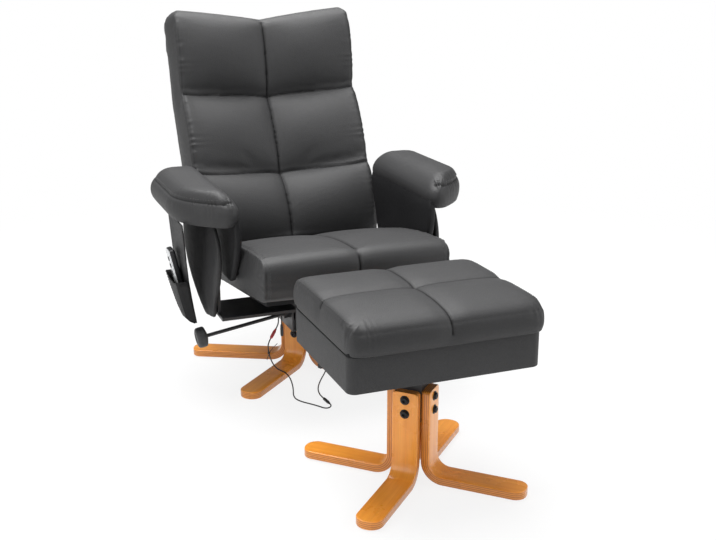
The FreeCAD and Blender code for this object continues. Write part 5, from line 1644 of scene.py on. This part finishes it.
@dataclass
class Footstool:
    """The footstool's top: leather-covered storage box, and lid with a cushion of four squares."""

    half_wide: float = 229.0
    half_deep: float = 203.0
    board_half: tuple[float, float] = (222.0, 177.0)
    seat: float = 393.4
    low: float = 384.8
    edge_ease: float = 2.5
    squareness: float = 0.15

    def loaf(self) -> Obj:
        """The lid's cushion before it is sewn: upright sides, rolled at front and rear, domed on top.

        Returns:
            The closed form.
        """
        levels = [(385, 4, 10), (388, 2, 6), (395, 1, 2), (406, 0, 0), (418, 0, 1), (430, 1, 4),
                  (440, 2.5, 10), (448, 5, 18), (454, 9, 29), (458.5, 16, 43), (462, 28, 62), (464.5, 48, 86),
                  (466, 90, 120)]

        def squared(value: float) -> float:
            """A share of a turn, drawn out towards the corners."""
            return math.copysign(abs(value) ** self.squareness, value)

        turns = np.linspace(0, 2 * math.pi, 160, endpoint=False)
        sections = []
        for z, side_draw, end_draw in levels:
            sections.append(np.array([chair(
                (self.half_wide - side_draw) * squared(math.cos(a)),
                (self.half_deep - end_draw) * squared(math.sin(a)) + STOOL_Y, z)[:] for a in turns]))
        return rings("lid_pad", sections)

    def clear_board(self, places: Points) -> Points:
        """Keep the cover's rim above the box, and its underside above the board and the hinges.

        Args:
            places: points on the cover.

        Returns:
            The moved points.
        """
        x = np.abs(places[:, 0] / MM)
        y = places[:, 1] / MM - CHAIR_Y - STOOL_Y
        inside = (x < self.board_half[0]) & (np.abs(y) < self.board_half[1])
        floor = np.where(inside | (y > self.board_half[1] - 30), self.seat, self.low)
        kept = places.copy()
        kept[:, 2] = np.maximum(kept[:, 2], floor * MM)
        return kept

    def across(self, plan: Callable[[float], tuple[float, float]], reach: float) -> Points:
        """A seam over the lid's top, given as a path in plan."""
        return np.array([chair(*plan(v), self.crest(*plan(v)))[:] for v in spaced(-reach, reach, 70)])

    def crest(self, x: float, y: float) -> float:
        """Rough height of the lid's top, for lines that are then carried onto the cover."""
        over = (abs(x) / self.half_wide) ** 8 + (abs(y - STOOL_Y) / self.half_deep) ** 5
        return 412 + 54 * max(1 - over, 0.0) ** 0.4

    def corners(self, places: Points) -> Points:
        """Share of the gathers at each point, full at the lid's corners.

        Args:
            places: points on the cover.

        Returns:
            The shares.
        """
        x = np.abs(places[:, 0] / MM) / self.half_wide
        y = np.abs(places[:, 1] / MM - CHAIR_Y - STOOL_Y) / self.half_deep
        return np.clip((np.minimum(x, y) - 0.6) / 0.3, 0.05, 1.0)

    def rim(self, inset: float) -> Points:
        """A line round the lid's top, some way in from its edge.

        Args:
            inset: distance in from the edge.

        Returns:
            Points near the cover.
        """
        loop = rounded_loop((-self.half_wide + inset, -self.half_deep + inset),
                            (self.half_wide - inset, self.half_deep - inset), [26.0] * 4)
        return np.array([chair(x, y + STOOL_Y, 452 if abs(y) < self.half_deep - 60 else 440)[:]
                         for x, y in loop])

    def build(self) -> None:
        """Make the lid's cushion and the box's cover."""
        crossing = (self.across(lambda v: (v, STOOL_Y), self.half_wide - 4),
                    self.across(lambda v: (0, STOOL_Y + v), self.half_deep))
        # The crossing seams get painted shade in the colour along their creases.
        seams = [Seam(line, pull=0.005, pull_wide=0.024, crease=0.0030, crease_wide=0.0036, painted_crease_shade=1.0)
                 for line in crossing]
        seams.append(Seam(self.rim(5), crease=0.0008, gather=0.0024, gather_reach=0.020, gather_pitch=0.019,
                          gather_at=self.corners))

        def under(_: Points, ways: Points) -> Points:
            """The cushion's underside, which stays as it is."""
            return (ways[:, 2] < -0.7).astype(float)

        cushion = PaddedPiece("lid_pad", "lid_cushion", "footstool_lid", voxel=0.0058, shrink=0.003,
                              cap=0.010, fill=0.7, seams=seams, hold=under, room=0.009, form=self.loaf,
                              trim=self.clear_board).build()
        sides = [np.array([chair(x, STOOL_Y + y, 452)[:] for y in spaced(-165, 165, 60)])
                 for x in (-self.half_wide + 12, self.half_wide - 12)]
        sewn("lid_stitches", cushion, sides, "footstool_lid")
        self.box_cover()

    def box_cover(self) -> None:
        """The storage box's tight leather cover, with its edges eased."""
        made = merged_copy("box_cover", "stool_box", flatten=True)
        modify(made, "BEVEL", width=self.edge_ease * MM, segments=3, limit_method="ANGLE",
               angle_limit=math.radians(40))
        settle(made)
        smooth_all(made)
        sharpen(made, 40.0)
        place(made, "footstool", Finish.LEATHER, "faux_leather", "stool_box")


# leads


RED_PLUG = (chair(-122, -122, 150), chair(-138, -123, 124))
INLINE_PLUG = (chair(-45.7, -348.3, 4.2), chair(-49, -310, 4.2))
BLACK_PLUG = (chair(-105, -122, 160), chair(-105, -122, 126))
LEG_OUT = outward(296)
LEG_SIDE = Vector((LEG_OUT.y, -LEG_OUT.x, 0))
CLIP_MOUTH = chair(0, 0, 18) + (LEG_OUT * (105 + 6) + LEG_SIDE * (31 + 6)) * MM
PLUG_RUN = 14 * MM


@dataclass
class Lead:
    """A limp lead on one smooth line."""

    name: str
    node: str
    route: list[Vector]
    far_end: str
    lay: str
    radius: float = 1.75
    sides: int = 12

    def line(self) -> list[Vector]:
        """Points read from the route's smooth spline.

        Returns:
            The points, in order.
        """
        curve = bpy.data.curves.new(self.name + "_line", "CURVE")
        curve.dimensions = "3D"
        curve.resolution_u = 8
        spline = curve.splines.new("NURBS")
        spline.points.add(len(self.route) - 1)
        for spot, point in zip(spline.points, self.route):
            spot.co = (*point, 1.0)
        spline.order_u = 3
        spline.use_endpoint_u = True
        holder = bpy.data.objects.new(self.name + "_line", curve)
        bpy.context.scene.collection.objects.link(holder)
        depsgraph = bpy.context.evaluated_depsgraph_get()
        mesh = bpy.data.meshes.new_from_object(holder.evaluated_get(depsgraph))
        points = [v.co.copy() for v in mesh.vertices]
        bpy.data.objects.remove(holder)
        bpy.data.curves.remove(curve)
        bpy.data.meshes.remove(mesh)
        return points

    def build(self) -> tuple[Obj, list[Vector]]:
        """Make the lead's tube.

        Returns:
            The tube and the points that it follows.
        """
        points = self.line()
        sections = []
        side = (points[1] - points[0]).orthogonal().normalized()
        for index, point in enumerate(points):
            way = (points[min(index + 1, len(points) - 1)] - points[max(index - 1, 0)]).normalized()
            side = (side - way * side.dot(way)).normalized()
            other = way.cross(side)
            ring = [point + (side * math.cos(a) + other * math.sin(a)) * self.radius * MM
                    for a in np.linspace(0, 2 * math.pi, self.sides, endpoint=False)]
            sections.append(np.array([p[:] for p in ring]))
        return rings(self.name, sections), points


class LeadSet:
    """The leads under the seat with their plugs, tie and clip."""

    def plug(self, kind: str, ends: tuple[Vector, Vector], radius: float, body: str, finish: Finish) -> Obj:
        """A moulded plug with ribs at its lead end.

        Args:
            kind: the plug's name.
            ends: its lead end and its far end.
            radius: its radius.
            body: the body that carries it.
            finish: its finish.

        Returns:
            The plug.
        """
        long = (ends[1] - ends[0]).length / MM
        shares = [(0.0, 0.55), (1.2, 0.66), (2.2, 0.58), (3.4, 0.7), (4.4, 0.62), (6.0, 0.8), (9.0, 0.97),
                  (12.0, 1.0), (long - 8, 1.0), (long - 4, 0.93), (long - 1, 0.8), (long, 0.62)]
        profile = [(0.0, 1.9), *((along, radius * share) for along, share in shares), (long, 1.9)]
        made = lathe(f"{kind}_connector", profile, ends[0], ends[1] - ends[0], 28)
        return place(made, body, finish, finish.value.name, f"{kind}_plug")

    def build(self) -> None:
        """Make the leads."""
        plug_way = (RED_PLUG[1] - RED_PLUG[0]).normalized()
        red_plug = self.plug("red", RED_PLUG, 4.5, "swivel_seat", Finish.RED)
        black_plug = self.plug("black", BLACK_PLUG, 4.5, "swivel_seat", Finish.PLASTIC)
        inline = self.plug("inline", INLINE_PLUG, 4.2, "chair_base", Finish.PLASTIC)
        red = Lead("red_flex", "red_lead", chairs((-114, -122, 200), (-114, -122, 180))
                   + [RED_PLUG[0] - plug_way * PLUG_RUN, RED_PLUG[0]], "connector", "hanging")
        black = Lead("black_flex", "black_lead", chairs(*((-105, -122, z) for z in (200, 187, 173)))
                     + [BLACK_PLUG[0]], "connector", "hanging")
        for lead, plug in ((red, red_plug), (black, black_plug)):
            made, points = lead.build()
            place(made, "swivel_seat", Finish.JACKET, "lead_jacket", lead.node)
        tie = self.tie()
        run = chairs((-148, -126.5, 99), (-147, -130, 84), (-143.5, -132, 68), (-137, -134, 51),
                     (-128, -137, 38), (-118, -143, 32), (-107, -157, 29), (-101, -178, 20), (-102, -203, 8),
                     (-109, -230, 2.6), (-118, -258, 2), (-119, -284, 2), (-108, -307, 2), (-92, -327, 2),
                     (-78, -347, 2), (-66, -368, 2), (-53.6, -369.5, 2.4), (-44.6, -360.8, 4.2))
        power = Lead("power_flex", "power_lead", [RED_PLUG[1], RED_PLUG[1] + plug_way * PLUG_RUN, *run,
                                                  INLINE_PLUG[0]], "connector", "loose")
        made, points = power.build()
        self.twist(made, "power_lead")
        run = chairs((-50, -297, 4.2), (-48.5, -274, 2), (-43, -246, 2), (-33, -220, 2), (-21, -197, 2.4),
                     (-8, -176, 4), (6, -158, 8), (17.5, -143, 14))
        tail = Lead("tail_flex", "tail_lead", [INLINE_PLUG[1], *run, CLIP_MOUTH + LEG_OUT * PLUG_RUN,
                                               CLIP_MOUTH], "object", "loose")
        made, points = tail.build()
        place(made, "chair_base", Finish.JACKET, "lead_jacket", "tail_lead")
        dress_node("lead_clip", Finish.PLASTIC)

    def twist(self, made: Obj, node: str) -> None:
        """Dress a piece that runs from the floor up to the turning seat, hide its solid and fix it where it
        lies, on neither body.

        Args:
            made: the piece.
            node: the solid that it stands for.
        """
        dress(made, Finish.JACKET)
        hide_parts(node)
        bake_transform(made)
        LOG.info("%s between chair_base and swivel_seat", made.name)

    def tie(self) -> Obj:
        """A wire tie wound twice round the lead, with two loose ends.

        Returns:
            The tie.
        """
        centre = chair(-147, -130, 84)
        turns = [centre + Vector((math.cos(a) * 2.9, math.sin(a) * 2.9, (a / math.pi - 2) * 1.5)) * MM
                 for a in np.linspace(0, 4 * math.pi, 36)]
        ends = [centre + Vector((-3.6, -2.2, -9)) * MM, centre + Vector((-7, -3.5, -19)) * MM]
        far = [centre + Vector((4.5, -2.5, 6)) * MM, centre + Vector((13, -5, 18)) * MM,
               centre + Vector((24, -6, 27)) * MM]
        holder = Lead("tie_wire", "lead_tie", ends[::-1] + turns + far, "bare", "loose", radius=0.9, sides=8)
        made, _ = holder.build()
        self.twist(made, "lead_tie")
        return made


# carried-over solids


CARRIED: dict[Finish, tuple[str, ...]] = {
    Finish.STEEL: ("base_hub", "swivel_spindle", "spindle_ring", "carrier", "arm_braces",
                   "back_bracket", "lock_link", "stool_hub", "box_hinges", "lid_hinges"),
    Finish.BOLT: ("seat_bolts", "back_bolts", "recline_pin"),
    Finish.LEATHER: ("back_board",),
    Finish.CAMBRIC: ("seat_board", "lid_board"),
    Finish.PLASTIC: ("seat_motors", "back_motors", "control_box", "swivel_bushing", "thrust_washer"),
    Finish.FELT: ("base_glides", "stool_glides"),
}


# studio


@dataclass
class Studio:
    """Pale floor, soft light and the camera."""

    eye: Place = (-0.915, -2.5127, 1.163)
    azimuth: float = -21.59
    elevation: float = 16.94
    lens: float = 53.145
    shift: tuple[float, float] = (-0.0084, 0.0018)

    def build(self) -> None:
        """Set up the studio."""
        self.camera()
        self.floor()
        self.world()
        self.lamp("overhead", (-0.2, 0.5, 3.0), at=(0.0, -0.2, 0.4), size=2.6, power=190.0)
        self.lamp("front", (-1.8, -3.2, 1.6), at=(0.0, 0.0, 0.4), size=2.0, power=16.0)
        self.lamp("right", (2.8, -1.8, 1.4), at=(0.0, -0.3, 0.3), size=2.0, power=40.0)
        self.lamp("left", (-3.0, -1.0, 1.4), at=(0.0, 0.0, 0.3), size=2.0, power=26.0)
        bpy.context.scene.view_settings.view_transform = "Standard"

    def camera(self) -> None:
        """Stand the camera where the photograph was taken."""
        data = bpy.data.cameras.new("camera")
        made = bpy.data.objects.new("camera", data)
        bpy.context.scene.collection.objects.link(made)
        a, e = math.radians(self.azimuth), math.radians(self.elevation)
        back = Vector((math.sin(a) * math.cos(e), -math.cos(a) * math.cos(e), math.sin(e)))
        made.location = self.eye
        made.rotation_mode = "QUATERNION"
        made.rotation_quaternion = (-back).to_track_quat("-Z", "Y")
        data.sensor_width = 36.0
        data.lens = self.lens
        data.shift_x, data.shift_y = self.shift
        bpy.context.scene.camera = made

    def floor(self) -> None:
        """A wide pale floor that keeps the object's shadow."""
        reach = 14.0
        made = mesh_object("studio_floor", [(-reach, -reach, 0), (reach, -reach, 0), (reach, reach, 0),
                                            (-reach, reach, 0)], [(0, 1, 2, 3)])
        material = bpy.data.materials.new("studio_floor")
        bench = bare_bench(material)
        matt = bench.put("ShaderNodeBsdfDiffuse", {"Color": (0.86, 0.86, 0.86, 1)})
        glow = bench.put("ShaderNodeEmission", {"Color": (1, 1, 1, 1), "Strength": 1.0})
        rays = bench.put("ShaderNodeLightPath")
        seen = bench.math("MAXIMUM", rays.outputs["Is Camera Ray"], rays.outputs["Is Glossy Ray"])
        seen = bench.math("MAXIMUM", seen, rays.outputs["Is Transmission Ray"])
        spot = bench.put("ShaderNodeTexCoord").outputs["Object"]
        away = bench.put("ShaderNodeVectorMath", {0: spot}, operation="LENGTH").outputs["Value"]
        mixed = bench.put("ShaderNodeMixShader", {
            0: bench.math("MULTIPLY", seen, bench.spread(away, 0.8, 2.6, 0.84, 1.0)), 1: matt.outputs[0],
            2: glow.outputs[0]})
        bench.put("ShaderNodeOutputMaterial", {"Surface": mixed.outputs[0]})
        made.data.materials.append(material)

    def world(self) -> None:
        """An even white room."""
        world = bpy.data.worlds.new("studio")
        bench = bare_bench(world)
        rays = bench.put("ShaderNodeLightPath")
        seen = bench.math("MAXIMUM", rays.outputs["Is Camera Ray"], rays.outputs["Is Transmission Ray"])
        strength = bench.spread(seen, 0.0, 1.0, 0.24, 1.0)
        sky = bench.put("ShaderNodeBackground", {"Color": (1, 1, 1, 1), "Strength": strength})
        bench.put("ShaderNodeOutputWorld", {"Surface": sky.outputs[0]})
        bpy.context.scene.world = world

    def lamp(self, name: str, where: Place, at: Place, size: float, power: float) -> None:
        """A square soft box aimed at a point.

        Args:
            name: the lamp's name.
            where: its place.
            at: the point.
            size: length of its side.
            power: its power, in watts.
        """
        data = bpy.data.lights.new(name, "AREA")
        data.size = size
        data.energy = power
        made = bpy.data.objects.new(name, data)
        made.location = where
        made.rotation_mode = "QUATERNION"
        made.rotation_quaternion = (Vector(at) - Vector(where)).to_track_quat("-Z", "Y")
        bpy.context.scene.collection.objects.link(made)


def main() -> None:
    """Build every sub-assembly in order."""
    logging.basicConfig(level=logging.INFO, format="%(message)s")
    Studio().build()
    LeadSet().build()
    bolt = socket_bolt()
    bases = (StarBase("base", "chair_base", count=5, start=152.0, top=148.0, reach=335.0,
                      axis=chair(0, 0, 0), bolts_node="base_leg_bolts"),
             StarBase("stool", "footstool", count=4, start=45.0, top=224.0, reach=272.0,
                      axis=chair(0, STOOL_Y, 0), bolts_node="stool_leg_bolts"))
    for base in bases:
        base.build(bolt)
    bpy.data.objects.remove(bolt)
    for finish, nodes in CARRIED.items():
        for node in nodes:
            dress_node(node, finish)
    LockLever().build()
    SidePouch().build()
    Footstool().build()
    SeatUnit().build()
    BackUnit().build()
    for side in (1, -1):
        ArmUnit(side).build()


if __name__ == "__main__":
    main()
